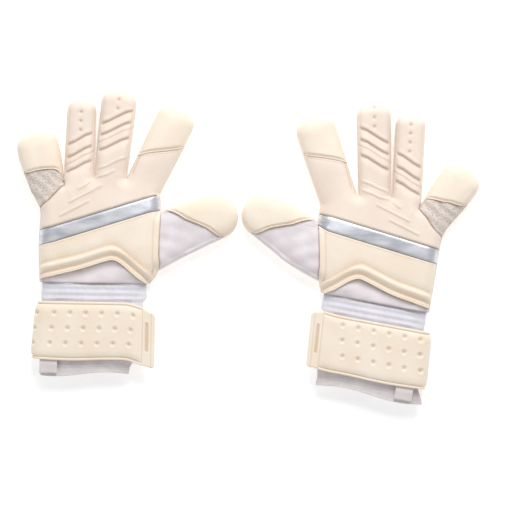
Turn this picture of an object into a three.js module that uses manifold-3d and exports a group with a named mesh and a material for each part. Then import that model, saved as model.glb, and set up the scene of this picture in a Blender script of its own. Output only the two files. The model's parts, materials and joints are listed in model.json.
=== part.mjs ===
// A pair of goalkeeper gloves lying palm down, fingers along +Y, left-hand glove at -X.
// Millimetres, +Z up. The origin is under the middle of the pair, on the plane the palms rest on.
//
// Each glove is laid out flat in its own frame: u runs across the hand towards the thumb, v runs
// along the hand towards the middle finger, and z runs from the palm latex up to the back of the hand.
// The right-hand glove is the same layout mirrored, with its own finger spread.
// Every stall, the thumb and the cuff are built in a frame of their own that starts at the line they bend on.
import * as THREE from "three";
import { mergeVertices } from "three/addons/utils/BufferGeometryUtils.js";
import Module from "manifold-3d";

const wasm = await Module();
wasm.setup();

// Gaps between neighbouring pieces.
const GAP = 0.3;
const HALF_GAP = GAP / 2;

// How far a cutting block reaches: past everything, or only just past the face that it opens.
const FAR = 400;
const PAST = 1;

// Shared corners closer than this are one corner, and edges that turn by less than this run straight on.
const MERGE = 1e-4;
const STRAIGHT = 0.05;

// Layers of the hand: palm latex, hollow for the hand, padded back.
const LATEX_TOP = 4;
const WALL_BOTTOM = LATEX_TOP + GAP;
const HAND_BACK_BOTTOM = 20;
const HAND_BACK_TOP = 26;
const CHEVRON_TOP = 27.5;
const SASH_TOP = 26.4;
const WALL = 3;
const FABRIC_BOTTOM = 17;
const FABRIC_TOP = HAND_BACK_BOTTOM - GAP;

// Layers of a finger stall, flatter than the hand.
const STALL_BACK_BOTTOM = 16;
const STALL_BACK_TOP = 22;
const CAVITY_TOP = 17.5;
const GUSSET_INSET = 1;
const TIP_ROUNDNESS = 0.62;
const TIP_STEPS = 10;
const BEVEL = 1.6;
const ROLL_BEVEL = 4;

// A stall bends back by this angle before it meets the hand, so its palm and its back start that far out.
const BEND_BACK = THREE.MathUtils.degToRad(20);
const PALM_START = LATEX_TOP * Math.tan(BEND_BACK) + GAP;
const BACK_START = STALL_BACK_TOP * Math.tan(BEND_BACK) + GAP;

// Where a rolled cap's seam meets the stall's inner and outer side, measured along the finger.
const CAP_SEAMS = { index: [28, 54], little: [21, 14] };

// Raised ribs across the back of the middle and ring fingers; first is a share of the finger's length.
const RIBS = { count: 3, first: 0.36, pitch: 15, width: 5, root: 1, height: 1.2, slope: 30 };

// The strips round the hand's sides: how far the cutting blocks reach across them, and past their ends.
const STRIP = { reach: 16, lap: 3, littleReach: 30, middle: 50 };

// The thumb, in its own frame: x out along the thumb, y towards the index finger, from the upper root corner.
const THUMB = {
  tipCentre: [49, -24],
  tipRadius: 22,
  tipSteps: 12,
  rootWidth: 51,
  seamEnd: [52, -45],
};

// The wrist end, in its own frame: x across towards the thumb, y towards the fingers, from the hand's edge.
const WRIST = {
  handHalf: 54,
  chevron: { littleEnd: [-74, -5], peak: [19, 24], thumbEnd: [74, -10], depth: 14 },
  apron: { bottomHalf: 47, topHalf: 44, top: 34 },
  elastic: { from: -17.6, to: -0.4, half: 53.5, bottom: 3, top: 19, wall: 2.4 },
  sleeve: { from: -92, to: -18, left: -58, right: 43, bottom: 5, top: 19.4, wall: 2 },
  strap: { from: -76, to: -18.4, left: -62, right: 49, bottom: 20.6, top: 26 },
  tab: { right: 62, bottom: 21.2, top: 23.8 },
  loopPatch: { from: -70, to: -26, left: 14, right: 42 },
  pullLoop: { left: -50, right: -36, from: -90, to: -77.5, height: 3.6, thickness: 1.1 },
};

// The band across the back: a plain strip of one width that slopes up towards the index finger.
const SASH = { slope: 17, width: 15, risesFrom: 56 };

const COLOURS = {
  latex: { color: 0xf4e6cb, roughness: 0.62, metalness: 0 },
  embossed: { color: 0xf0dcc8, roughness: 0.66, metalness: 0 },
  sash: { color: 0xc3c6cc, roughness: 0.3, metalness: 0.9 },
  fabric: { color: 0xd8cfdb, roughness: 0.85, metalness: 0 },
  elastic: { color: 0xf2f1f5, roughness: 0.8, metalness: 0 },
  mesh: { color: 0xcfc6c4, roughness: 0.75, metalness: 0 },
  cuff: { color: 0xcbc7cf, roughness: 0.9, metalness: 0 },
  tape: { color: 0xe9e4e0, roughness: 0.9, metalness: 0 },
};

// The two gloves: where each hand lies, how its fingers spread, and how its cuff is turned.
// base is the middle of the line that a stall bends on, splay its turn from v towards the thumb in degrees.
const GLOVES = [
  {
    prefix: "left",
    mirrored: false,
    place: [-148.7, -36.25],
    wrist: { origin: [-5, 1], turn: -1 },
    littleEdge: [[-60, 34], [-59, 58], [-58.5, 74]],
    thumbEdge: [[61.5, 76], [60, 46], [58, 14]],
    thumb: { root: [62, 74], lift: 19 },
    fingers: {
      little: { base: [-51.5, 96], splay: -14, length: 57, baseWidth: 32, tipWidth: 41 },
      ring: { base: [-20.3, 107.2], splay: 2.5, length: 76, baseWidth: 29, tipWidth: 28 },
      middle: { base: [11.2, 107], splay: 6.5, length: 86, baseWidth: 31, tipWidth: 34 },
      index: { base: [44, 98], splay: 26, length: 86, baseWidth: 35.5, tipWidth: 38 },
    },
  },
  {
    prefix: "right",
    mirrored: true,
    place: [131.3, -55.25],
    wrist: { origin: [4, 0], turn: 10.5 },
    littleEdge: [[-56, 30], [-59, 50], [-62, 64]],
    thumbEdge: [[60.5, 84], [60, 52], [59.5, 22]],
    thumb: { root: [61, 82], lift: 32 },
    fingers: {
      little: { base: [-53.8, 85], splay: -36, length: 60, baseWidth: 33, tipWidth: 40 },
      ring: { base: [-27.3, 104.6], splay: -3, length: 83, baseWidth: 28.6, tipWidth: 29 },
      middle: { base: [4.6, 107.5], splay: 0.5, length: 91, baseWidth: 31.4, tipWidth: 33 },
      index: { base: [40.8, 104.2], splay: 18, length: 86, baseWidth: 36.4, tipWidth: 39 },
    },
  },
];

// ---------- solids ----------

function shapeOf(points) {
  return new THREE.Shape(points.map(([x, y]) => new THREE.Vector2(x, y)));
}

// A flat piece of that outline between two heights, its rims bevelled on request.
function plate(points, bottom, top, bevel = 0) {
  const geometry = new THREE.ExtrudeGeometry(shapeOf(points), {
    depth: top - bottom - 2 * bevel,
    bevelEnabled: bevel > 0,
    bevelThickness: bevel,
    bevelSize: bevel,
    bevelOffset: -bevel,
    bevelSegments: 1,
  });
  geometry.translate(0, 0, bottom + bevel);
  return solidOf(geometry);
}

function solidOf(geometry) {
  const bare = geometry.clone();
  bare.deleteAttribute("normal");
  bare.deleteAttribute("uv");
  const merged = mergeVertices(bare, MERGE);
  return new wasm.Manifold(
    new wasm.Mesh({
      numProp: 3,
      vertProperties: merged.attributes.position.array,
      triVerts: new Uint32Array(merged.index.array),
    }),
  );
}

function geometryOf(solid) {
  const mesh = solid.getMesh();
  const geometry = new THREE.BufferGeometry();
  geometry.setAttribute("position", new THREE.BufferAttribute(mesh.vertProperties, mesh.numProp));
  geometry.setIndex(new THREE.BufferAttribute(mesh.triVerts, 1));
  geometry.computeVertexNormals();
  return geometry;
}

function addPiece(group, name, solid, look) {
  const material = new THREE.MeshStandardMaterial(COLOURS[look]);
  const mesh = new THREE.Mesh(geometryOf(solid), material);
  mesh.name = name;
  group.add(mesh);
}

// A block over everything on the left of the directed line from a to b, that far from the line.
function leftOf(a, b, away) {
  const along = new THREE.Vector2(b[0] - a[0], b[1] - a[1]).normalize();
  const left = new THREE.Vector2(-along.y, along.x);
  const at = (run, out) => [
    a[0] + along.x * run + left.x * out,
    a[1] + along.y * run + left.y * out,
  ];
  return plate([at(-FAR, away), at(FAR, away), at(FAR, FAR), at(-FAR, FAR)], -FAR, FAR);
}

function box(x0, x1, y0, y1, z0, z1) {
  return plate([[x0, y0], [x1, y0], [x1, y1], [x0, y1]], z0, z1);
}

// A point of a turned frame, in the frame around it.
function placed([x, y], origin, turn) {
  const angle = THREE.MathUtils.degToRad(turn);
  return [
    origin[0] + x * Math.cos(angle) - y * Math.sin(angle),
    origin[1] + x * Math.sin(angle) + y * Math.cos(angle),
  ];
}

// ---------- finger stalls ----------

// A stall's outline, in its own frame: x across, y out along the finger.
function stallOutline(finger, inset, from) {
  const tipHalf = finger.tipWidth / 2 - inset;
  const shoulder = finger.length - finger.tipWidth * TIP_ROUNDNESS * 0.5;
  const tipRise = finger.length - inset - shoulder;
  const widthAt = THREE.MathUtils.lerp(finger.baseWidth, finger.tipWidth, from / shoulder);
  const fromHalf = widthAt / 2 - inset;
  const points = [[-fromHalf, from], [fromHalf, from]];
  for (let i = 0; i <= TIP_STEPS; i++) {
    const angle = (i / TIP_STEPS) * Math.PI;
    points.push([tipHalf * Math.cos(angle), shoulder + tipRise * Math.sin(angle)]);
  }
  return points;
}

// The padded part of a stall that wraps over the finger: a shell, open underneath and at its root.
function wrapShell(finger, from) {
  const outside = plate(stallOutline(finger, 0, from), WALL_BOTTOM, STALL_BACK_TOP, ROLL_BEVEL);
  const inside = plate(stallOutline(finger, WALL, 0), 0, CAVITY_TOP);
  return outside.subtract(inside);
}

// The index and little fingers: a rolled cap over the tip, and a sleeve between it and the knuckle.
function rolledFinger(group, name, finger, [innerSide, outerSide], sleeve) {
  const whole = wrapShell(finger, BACK_START);
  const inner = [-finger.baseWidth / 2, innerSide];
  const outer = [finger.baseWidth / 2, outerSide];
  addPiece(group, name + "_roll_cap", whole.intersect(leftOf(inner, outer, HALF_GAP)), "latex");
  addPiece(group, name + "_" + sleeve.node, whole.intersect(leftOf(outer, inner, HALF_GAP)), sleeve.look);
}

// The middle and ring fingers: a flat ribbed back panel, and a gusset strip round the side of the finger.
function flatFinger(group, name, finger) {
  const panel = stallOutline(finger, 0, BACK_START);
  let back = plate(panel, STALL_BACK_BOTTOM, STALL_BACK_TOP, BEVEL);
  const trim = plate(stallOutline(finger, 2 * BEVEL, BACK_START + BEVEL), 0, FAR);
  const rise = Math.tan(THREE.MathUtils.degToRad(RIBS.slope)) * finger.tipWidth;
  for (let i = 0; i < RIBS.count; i++) {
    const low = finger.length * RIBS.first + i * RIBS.pitch;
    const half = finger.tipWidth / 2;
    const strip = [
      [-half, low],
      [half, low + rise],
      [half, low + rise + RIBS.width],
      [-half, low + RIBS.width],
    ];
    const rib = plate(strip, STALL_BACK_TOP - RIBS.root, STALL_BACK_TOP + RIBS.height);
    back = back.add(rib.intersect(trim));
  }
  addPiece(group, name + "_back", back, "embossed");
  const around = plate(stallOutline(finger, GUSSET_INSET, BACK_START), WALL_BOTTOM, STALL_BACK_BOTTOM - GAP);
  const hollow = plate(stallOutline(finger, GUSSET_INSET + WALL, 0), 0, STALL_BACK_BOTTOM);
  addPiece(group, name + "_gusset", around.subtract(hollow), "fabric");
}

function fingerGroup(glove, finger) {
  const group = new THREE.Group();
  group.position.set(finger.base[0], finger.base[1], 0);
  group.rotation.z = THREE.MathUtils.degToRad(-finger.splay);
  glove.add(group);
  return group;
}

function buildFingers(glove, spec) {
  for (const [finger, sizes] of Object.entries(spec.fingers)) {
    const name = spec.prefix + "_" + finger;
    const group = fingerGroup(glove, sizes);
    addPiece(group, name + "_palm", plate(stallOutline(sizes, 0, PALM_START), 0, LATEX_TOP), "latex");
    if (finger === "index") {
      rolledFinger(group, name, sizes, CAP_SEAMS.index, { node: "sleeve", look: "embossed" });
    } else if (finger === "little") {
      rolledFinger(group, name, sizes, CAP_SEAMS.little, { node: "mesh_sleeve", look: "mesh" });
    } else {
      flatFinger(group, name, sizes);
    }
  }
}

// ---------- thumb ----------

// The thumb's outline: straight top edge, round tip, lower edge, and the root line at x = from.
function thumbOutline(inset, from) {
  const [cx, cy] = THUMB.tipCentre;
  const radius = THUMB.tipRadius - inset;
  const points = [[from, -inset]];
  for (let i = 0; i <= THUMB.tipSteps; i++) {
    const angle = THREE.MathUtils.degToRad(90 - (i / THUMB.tipSteps) * 180);
    points.push([cx + radius * Math.cos(angle), cy + radius * Math.sin(angle)]);
  }
  points.push([from, -THUMB.rootWidth + inset]);
  return points.reverse();
}

function buildThumb(glove, spec) {
  const group = new THREE.Group();
  group.position.set(spec.thumb.root[0], spec.thumb.root[1], 0);
  group.rotation.z = THREE.MathUtils.degToRad(spec.thumb.lift);
  glove.add(group);
  const name = spec.prefix + "_thumb";
  addPiece(group, name + "_palm", plate(thumbOutline(0, PALM_START), 0, LATEX_TOP), "latex");
  const outside = plate(thumbOutline(0, BACK_START), WALL_BOTTOM, STALL_BACK_TOP, ROLL_BEVEL);
  const whole = outside.subtract(plate(thumbOutline(WALL, 0), 0, CAVITY_TOP));
  const seamRoot = [BACK_START, -BACK_START];
  const cap = whole.intersect(leftOf(seamRoot, THUMB.seamEnd, HALF_GAP));
  addPiece(group, name + "_roll_cap", cap, "latex");
  const gusset = whole.intersect(leftOf(THUMB.seamEnd, seamRoot, HALF_GAP));
  addPiece(group, name + "_fabric_gusset", gusset, "fabric");
}

// ---------- hand ----------

// The hand's outline, anticlockwise from the wrist's little-finger corner.
function handOutline(spec) {
  const wristPoint = (x, y) => placed([x, y], spec.wrist.origin, spec.wrist.turn);
  const knuckle = (finger, side) => {
    const { base, splay, baseWidth } = spec.fingers[finger];
    return placed([(side * baseWidth) / 2, -HALF_GAP], base, -splay);
  };
  const knuckles = ["index", "middle", "ring", "little"];
  return [
    wristPoint(-WRIST.handHalf, 0),
    wristPoint(WRIST.handHalf, 0),
    ...spec.thumbEdge.toReversed(),
    ...knuckles.flatMap((finger) => [knuckle(finger, 1), knuckle(finger, -1)]),
    ...spec.littleEdge.toReversed(),
  ];
}

// The same outline drawn in by an inset: each edge moves in and meets its neighbours again.
function drawnIn(points, inset) {
  const count = points.length;
  const edge = (i) => {
    const [a, b] = [points[i % count], points[(i + 1) % count]];
    const length = Math.hypot(b[0] - a[0], b[1] - a[1]);
    const along = [(b[0] - a[0]) / length, (b[1] - a[1]) / length];
    return { at: [a[0] - along[1] * inset, a[1] + along[0] * inset], along };
  };
  return points.map((point, i) => {
    const before = edge(i + count - 1);
    const after = edge(i);
    const cross = before.along[0] * after.along[1] - before.along[1] * after.along[0];
    if (Math.abs(cross) < STRAIGHT) return after.at;
    const offset = [after.at[0] - before.at[0], after.at[1] - before.at[1]];
    const run = (offset[0] * after.along[1] - offset[1] * after.along[0]) / cross;
    return [before.at[0] + before.along[0] * run, before.at[1] + before.along[1] * run];
  });
}

function buildHand(glove, spec) {
  const name = spec.prefix + "_";
  const outline = handOutline(spec);
  const wristPoint = (x, y) => placed([x, y], spec.wrist.origin, spec.wrist.turn);
  addPiece(glove, name + "palm_latex", plate(outline, 0, LATEX_TOP), "latex");

  // The back, from the fingers down: knuckle panel, band, lower back panel, chevron rib.
  const slope = THREE.MathUtils.degToRad(SASH.slope);
  const bandAt = (x, up) => [x, SASH.risesFrom + Math.tan(slope) * x + up];
  const bandRise = SASH.width / Math.cos(slope);
  const aboveBand = (up) => leftOf(bandAt(0, up), bandAt(WRIST.handHalf, up), HALF_GAP);
  const belowBand = (up) => leftOf(bandAt(WRIST.handHalf, up), bandAt(0, up), HALF_GAP);
  const { littleEnd, peak, thumbEnd, depth } = WRIST.chevron;
  // Everything on the finger side of the chevron line, that far up from it.
  const aboveChevron = (up) => {
    const line = [littleEnd, peak, thumbEnd].map(([x, y]) => wristPoint(x, y + up));
    const far = [[FAR, 0], [FAR, FAR], [-FAR, FAR], [-FAR, 0]].map(([x, y]) => wristPoint(x, y));
    return plate([...line, ...far], -FAR, FAR);
  };
  const slab = (top) => plate(outline, HAND_BACK_BOTTOM, top, BEVEL);
  const knuckles = slab(HAND_BACK_TOP).intersect(aboveBand(bandRise));
  addPiece(glove, name + "knuckle_panel", knuckles, "embossed");
  const sash = slab(SASH_TOP).intersect(aboveBand(0)).intersect(belowBand(bandRise));
  addPiece(glove, name + "silver_sash", sash, "sash");
  const lower = slab(HAND_BACK_TOP).intersect(belowBand(0));
  addPiece(glove, name + "back_panel", lower.intersect(aboveChevron(depth + HALF_GAP)), "latex");
  const rib = slab(CHEVRON_TOP).intersect(aboveChevron(0)).subtract(aboveChevron(depth - HALF_GAP));
  addPiece(glove, name + "wrist_chevron", rib, "latex");

  // The side strips between palm and back, with the hand's hollow inside them.
  const ring = plate(drawnIn(outline, HALF_GAP), WALL_BOTTOM, HAND_BACK_BOTTOM - GAP);
  const hollow = plate(drawnIn(outline, WALL), 0, HAND_BACK_TOP);
  const strips = ring.subtract(hollow);
  const { base, splay, baseWidth } = spec.fingers.little;
  const littleCorner = placed([-baseWidth / 2, -2 * WALL], base, -splay);
  const wristCorner = wristPoint(-WRIST.handHalf, WALL + GAP);
  const beside = (corner) => [corner[0] - STRIP.littleReach, corner[1]];
  const littleZone = [
    wristCorner,
    wristPoint(0, STRIP.middle),
    littleCorner,
    beside(littleCorner),
    beside(wristCorner),
  ];
  const littleSide = plate(littleZone, 0, FAR);
  addPiece(glove, name + "outer_side_gusset", strips.intersect(littleSide), "fabric");
  addPiece(glove, name + "thumb_side_gusset", thumbSide(spec, strips), "fabric");

  // Stretch fabric over the wrist, under the chevron.
  const { bottomHalf, topHalf, top } = WRIST.apron;
  const apron = [
    wristPoint(-bottomHalf, HALF_GAP),
    wristPoint(bottomHalf, HALF_GAP),
    wristPoint(topHalf, top),
    wristPoint(-topHalf, top),
  ];
  addPiece(glove, name + "wrist_fabric", plate(apron, FABRIC_BOTTOM, FABRIC_TOP), "fabric");
}

// The strips above and below the thumb, and the fabric web that widens the hand to the thumb's root.
function thumbSide(spec, strips) {
  const { root, lift } = spec.thumb;
  const low = spec.thumbEdge[2];
  const thumbPoint = (x, y) => placed([x, y], root, lift);
  const inward = WALL - 2 * GAP;
  const web = [
    [low[0] - inward, low[1]],
    thumbPoint(-GAP, -THUMB.rootWidth),
    thumbPoint(-GAP, -GAP),
    [root[0] - inward, root[1]],
  ];
  const roof = plate(web, STALL_BACK_BOTTOM, HAND_BACK_BOTTOM - GAP);
  const edge = [web[0], web[1], thumbPoint(-GAP, WALL - THUMB.rootWidth), [web[0][0], web[0][1] + WALL]];
  const keel = plate(edge, WALL_BOTTOM, HAND_BACK_BOTTOM - GAP);
  const { base, splay, baseWidth } = spec.fingers.index;
  const indexCorner = placed([baseWidth / 2, -2 * WALL], base, -splay);
  const wristCorner = placed([WRIST.handHalf, WALL + GAP], spec.wrist.origin, spec.wrist.turn);
  const stretch = (u, from, to) => strips.intersect(box(u - STRIP.reach, u + STRIP.reach, from, to, 0, FAR));
  const aboveThumb = stretch(root[0], root[1] - STRIP.lap, indexCorner[1]);
  const belowThumb = stretch(low[0], wristCorner[1], low[1] + STRIP.lap);
  return roof.add(keel).add(aboveThumb).add(belowThumb);
}

// ---------- wrist and cuff ----------

// A flat tube: a band of that wall thickness, open along y.
function flatTube({ left, right, from, to, bottom, top, wall }) {
  const outside = box(left, right, from, to, bottom, top);
  const inside = box(left + wall, right - wall, from - PAST, to + PAST, bottom + wall, top - wall);
  return outside.subtract(inside);
}

function buildCuff(glove, spec) {
  const group = new THREE.Group();
  group.position.set(spec.wrist.origin[0], spec.wrist.origin[1], 0);
  group.rotation.z = THREE.MathUtils.degToRad(spec.wrist.turn);
  glove.add(group);
  const name = spec.prefix + "_";
  const { elastic, sleeve, strap, tab, loopPatch, pullLoop } = WRIST;

  const band = { ...elastic, left: -elastic.half, right: elastic.half };
  addPiece(group, name + "wrist_elastic", flatTube(band), "elastic");
  addPiece(group, name + "cuff_sleeve", flatTube(sleeve), "cuff");

  // The strap's palm-side half, sewn under the cuff, turns up round the little-finger edge.
  const under = box(strap.left, sleeve.right, strap.from, strap.to, 0, sleeve.bottom - GAP);
  const turnUp = box(strap.left, sleeve.left - GAP, strap.from, strap.to, 0, strap.bottom - 2 * GAP);
  addPiece(group, name + "strap_anchor", under.add(turnUp), "latex");

  const onSleeve = sleeve.top + GAP;
  const { left, right, from, to } = loopPatch;
  addPiece(group, name + "loop_patch", box(left, right, from, to, onSleeve, strap.bottom - GAP), "tape");

  const { height, thickness } = pullLoop;
  const loop = box(pullLoop.left, pullLoop.right, pullLoop.from, pullLoop.to, onSleeve, onSleeve + height);
  const slot = box(
    pullLoop.left - PAST,
    pullLoop.right + PAST,
    pullLoop.from + thickness,
    pullLoop.to - thickness,
    onSleeve + thickness,
    onSleeve + height - thickness,
  );
  addPiece(group, name + "pull_loop", loop.subtract(slot), "tape");

  // The padded half of the strap closes over the back of the cuff, and ends in a thin tab.
  const outline = [
    [strap.left, strap.from],
    [strap.right, strap.from],
    [strap.right, strap.to],
    [strap.left, strap.to],
  ];
  const pad = plate(outline, strap.bottom, strap.top, BEVEL);
  addPiece(group, name + "wrist_strap", pad, "latex");
  const end = box(strap.right + GAP, tab.right, strap.from, strap.to, tab.bottom, tab.top);
  addPiece(group, name + "strap_tab", end, "latex");
}

// ---------- the pair ----------

const pair = new THREE.Group();
for (const spec of GLOVES) {
  const glove = new THREE.Group();
  glove.position.set(spec.place[0], spec.place[1], 0);
  if (spec.mirrored) glove.scale.x = -1;
  pair.add(glove);
  buildHand(glove, spec);
  buildFingers(glove, spec);
  buildThumb(glove, spec);
  buildCuff(glove, spec);
}

export default pair;
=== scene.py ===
"""A pair of padded goalkeeper gloves, lying palm down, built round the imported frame.

Each glove is laid out flat, in millimetres, in a frame of its own: u across the hand towards the thumb, v
along the hand towards the middle finger. One triangulation of that layout, with every seam as a line in it,
is raised into the padded back and cut into its pieces along the seams, so that neighbouring pieces always
meet. A coarser one makes the palm. The cuff and the strap are built in a frame that turns with the wrist.
"""
import json
import math

import bpy
import numpy as np
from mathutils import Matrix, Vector
from mathutils.geometry import delaunay_2d_cdt
from mathutils.kdtree import KDTree


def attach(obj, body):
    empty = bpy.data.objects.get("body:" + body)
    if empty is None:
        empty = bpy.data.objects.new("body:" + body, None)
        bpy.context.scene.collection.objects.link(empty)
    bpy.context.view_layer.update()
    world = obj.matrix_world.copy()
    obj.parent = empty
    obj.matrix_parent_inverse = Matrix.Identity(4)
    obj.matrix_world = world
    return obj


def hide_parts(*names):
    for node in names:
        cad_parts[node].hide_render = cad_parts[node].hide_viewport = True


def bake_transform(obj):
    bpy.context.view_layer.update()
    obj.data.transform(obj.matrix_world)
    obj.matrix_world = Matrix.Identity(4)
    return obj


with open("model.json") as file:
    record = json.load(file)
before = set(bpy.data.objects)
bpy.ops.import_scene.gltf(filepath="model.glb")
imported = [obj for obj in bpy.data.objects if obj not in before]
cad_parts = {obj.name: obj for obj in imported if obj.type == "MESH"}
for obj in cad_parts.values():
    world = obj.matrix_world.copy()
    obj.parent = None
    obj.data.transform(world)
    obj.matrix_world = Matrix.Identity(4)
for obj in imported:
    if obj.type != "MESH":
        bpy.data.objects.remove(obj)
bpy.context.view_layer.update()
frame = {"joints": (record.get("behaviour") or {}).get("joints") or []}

MM = 0.001
BACK_PITCH = 1.1       # spacing of the back's points
PALM_PITCH = 2.2       # and of the palm's
FAR = 99.0
EDGE_STEP = 0.4        # spacing of the points that distances to an edge are taken from
ON_RIM = 0.05          # a point at most this far in from the silhouette lies on it
SHARP_ANGLE = 50       # an edge turning by more degrees is not shaded smooth

# ---------- layers and edge shapes, millimetres ----------
SIDE_TOP = 13.0        # height of the back's edge, where the side strip starts
SIDE_BOTTOM = 6.5      # height of the palm's edge
HAND_CROWN = 25.4
STALL_CROWN = 21.8
HAND_ROUND = 12.5      # how far in from the silhouette the back is still curving
ROLL_ROUND = 15.5      # the same on a rolled finger
FLAT_ROUND = 9.0       # and on a flat one
PALM_ROUND = 8.0
FOAM = 3.4             # thickness of a padded panel
CLOTH = 1.0            # and of a cloth
WALL_INSIDE = 2.4      # how far in a rolled piece's side wall reaches
SOFT_START = -4.0      # a stall's pieces start this far inside the hand
BEND_END = 21.0        # and a finger's bend is full from here
THUMB_BEND = ((-3, -25.5), (18, -25.5))        # where the thumb starts to bend, and where it has bent fully
WRIST_BEND = ((0, -0.5), (0, -17.5))           # the same of the wrist
STRAP_BEND = ((-56, -47), (-30, -47))          # and of the strap, in the wrist's frame
STRAP_BEND_HEIGHT = 20.0
SEAM_DEPTH = 1.0
SEAM_WIDTH = 1.1

STALL_MARGIN = 0.6     # a stall's pieces reach this far past its half width
TIP_SHARE = 0.36       # a stall starts to round off this share of its width before its end
TIP_BLUNT = 0.86       # the power that shapes the tip; an ellipse's is 1

THUMB_TIP = (49.0, -24.0)
THUMB_RADIUS = 22.0

WRIST_HALF = 54.0
CHEVRON_DEPTH = 14.0

SASH_SLOPE = math.radians(17)
SASH_WIDTH = 15.0
SASH_RISES_FROM = 56.0
BINDING = 6.0          # width of the bound edge beside the thumb, measured along the surface

RIB_SLOPE = math.radians(33)
RIB_INSET = 3.6        # the grooves on a flat finger end this far from its sides
# The flat fingers, and where their three grooves cross the finger's middle line.
GROOVES = {"middle": (60.0, 48.5, 33.0), "ring": (38.0, 25.0, 10.5)}
CROSS_SEAM_DROP = 6.5  # the thin cross seam lies this far below the second groove
VENT_START = 8.5       # the first vent's distance above the top groove
VENT_PITCH, VENT_COUNT = 9.0, 6
VENT_CLEAR = 4.0       # no vent lies nearer to the tip
VENT_RADIUS = 1.7
VENT_RINGS = ((0.4, 6), (0.8, 12), (1.3, 16))   # rings of points in a vent: share of its radius, and how many
PIPING = 0.75          # radius of a piping cord
STITCH = 0.3           # and of a stitch
ELASTIC_STITCHES = (-1.2, -15.6)       # the elastic's two rows of stitches
STITCH_PITCH = 2.7
RIM_CLEAR = 1.2        # piping and stitches keep this far in from the silhouette

# Each glove's layout. A finger, the thumb and the wrist have frames of their own, given by an origin and a
# turn in degrees, and what belongs to one of them is given in its frame.
#   mirror: -1 turns the layout over
#   little_edge, thumb_edge: the hand's outline, up the little finger's side and down the thumb's
#   strap_drop: how far the strap's thumb end curves towards the cuff's mouth
#   strap_lean: how far the cut of that end slants
#   strap_turn: where the strap turns round the cuff
#   sleeve, mouth: the cuff sleeve's left and right edges under the strap, and at its mouth
#   dimple_rows: how many of the strap's dimples a row has, then each row's place and its first dimple's
#   chevron_peak: the highest point of the chevron's lower edge
#   index_cap, little_cap: the seam where the finger's rolled cap starts
#   fingers: each stall's origin, its splay, its length, and its widths at the root and near the tip
GLOVES = {
    "left": {
        "mirror": 1,
        "wrist": ((-5.0, 1.0), -1.0),
        "little_edge": [(-60, 34), (-59, 58), (-58.5, 74)],
        "thumb_edge": [(61.5, 76), (60, 46), (58, 14)],
        "thumb": ((62.0, 74.0), 19.0),
        "strap_drop": 7.0,
        "strap_turn": -47.4,
        "strap_lean": 0.0,
        "sleeve": (-54.5, 43.0),
        "mouth": (-52.5, 36.0),
        "dimple_rows": (7, (-30.0, -54.2), (-45.0, -56.6), (-60.0, -58.2)),
        "chevron_peak": (19.0, 24.0),
        "index_cap": [(-23, 19), (-14, 26), (0, 39), (12, 50), (24, 57)],
        "little_cap": [(-26, 22.5), (-14, 20.8), (0, 19.6), (9, 17.5), (13, 13), (16, 6), (18.5, 0)],
        "fingers": {
            "little": {"base": (-51.5, 96), "splay": -14, "length": 57, "widths": (32, 41)},
            "ring": {"base": (-20.3, 107.2), "splay": 2.5, "length": 76, "widths": (29, 28)},
            "middle": {"base": (11.2, 107), "splay": 6.5, "length": 86, "widths": (31, 34)},
            "index": {"base": (44, 98), "splay": 26, "length": 86, "widths": (35.5, 38)},
        },
    },
    "right": {
        "mirror": -1,
        "wrist": ((4.0, 0.0), 10.5),
        "little_edge": [(-56, 30), (-59, 50), (-62, 64)],
        "thumb_edge": [(60.5, 84), (60, 52), (59.5, 22)],
        "thumb": ((61.0, 82.0), 32.0),
        "strap_drop": -2.5,
        "strap_turn": -50.6,
        "strap_lean": 5.0,
        "sleeve": (-56.5, 46.0),
        "mouth": (-64.0, 44.0),
        "dimple_rows": (6, (-27.4, -49.9), (-42.4, -52.0), (-58.0, -55.1)),
        "chevron_peak": (21.5, 21.5),
        "index_cap": [(-23, 27), (-15.5, 32), (0, 43.5), (12, 51.5), (24, 57)],
        "little_cap": [(-26, 34), (-17, 29.7), (0, 20.5), (10, 15), (14.5, 12), (17, 6), (19.5, 0)],
        "fingers": {
            "little": {"base": (-53.8, 85), "splay": -36, "length": 60, "widths": (33, 40)},
            "ring": {"base": (-27.3, 104.6), "splay": -3, "length": 83, "widths": (28.6, 29)},
            "middle": {"base": (4.6, 107.5), "splay": 0.5, "length": 91, "widths": (31.4, 33)},
            "index": {"base": (40.8, 104.2), "splay": 18, "length": 86, "widths": (36.4, 39)},
        },
    },
}

# The cuff, in the wrist's frame: s across towards the thumb, t towards the fingers.
ELASTIC_FROM, ELASTIC_TO = -25.0, 5.0
ELASTIC_HALF, ELASTIC_MIDDLE, ELASTIC_HALF_HEIGHT = 53.0, 11.0, 8.0
RIB_PITCH = 6.2
SLEEVE_FROM, SLEEVE_TO = -91.0, -15.0
SLEEVE_SHOWN = -70.0   # what lies beyond this shows past the strap
SLEEVE_EDGES = (-54.5, 43.0)           # left and right, between the elastic and the strap's middle
SLEEVE_MIDDLE, SLEEVE_HALF_HEIGHT = 12.2, 7.2
HEM = 6.5
TUBE_POWER = 2.6       # how square the flattened tubes are
TUBE_SIDES = 180
STRAP_FROM, STRAP_TO = -76.5, -18.4
STRAP_START, STRAP_RIGHT = 43.0, 49.5
STRAP_LOW, STRAP_HIGH = 2.45, 23.3     # heights of its middle, under the cuff and over it
STRAP_SLANT = 2.5      # its left edge leans out this far towards the cuff's mouth
STRAP_SPLIT = 40.0     # degrees round the turn, past level, where the sewn half ends
STRAP_BEAD, STRAP_PAD, STRAP_UNDER = 1.1, 2.7, 2.2     # heights over its middle: bead, pad, and its underside
DIMPLE_PITCH, DIMPLE_DEPTH = 15.7, 2.1
TAB_RIGHT, TAB_WELT = 62.0, 58.0
TAB_CORNER, TAB_HALF = 3.2, 1.15       # its corner's radius and half its thickness
MARK = (53.7, -47.0, 13.0, 1.5)        # the tab's plain recess: middle s and t, half length, radius
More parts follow.
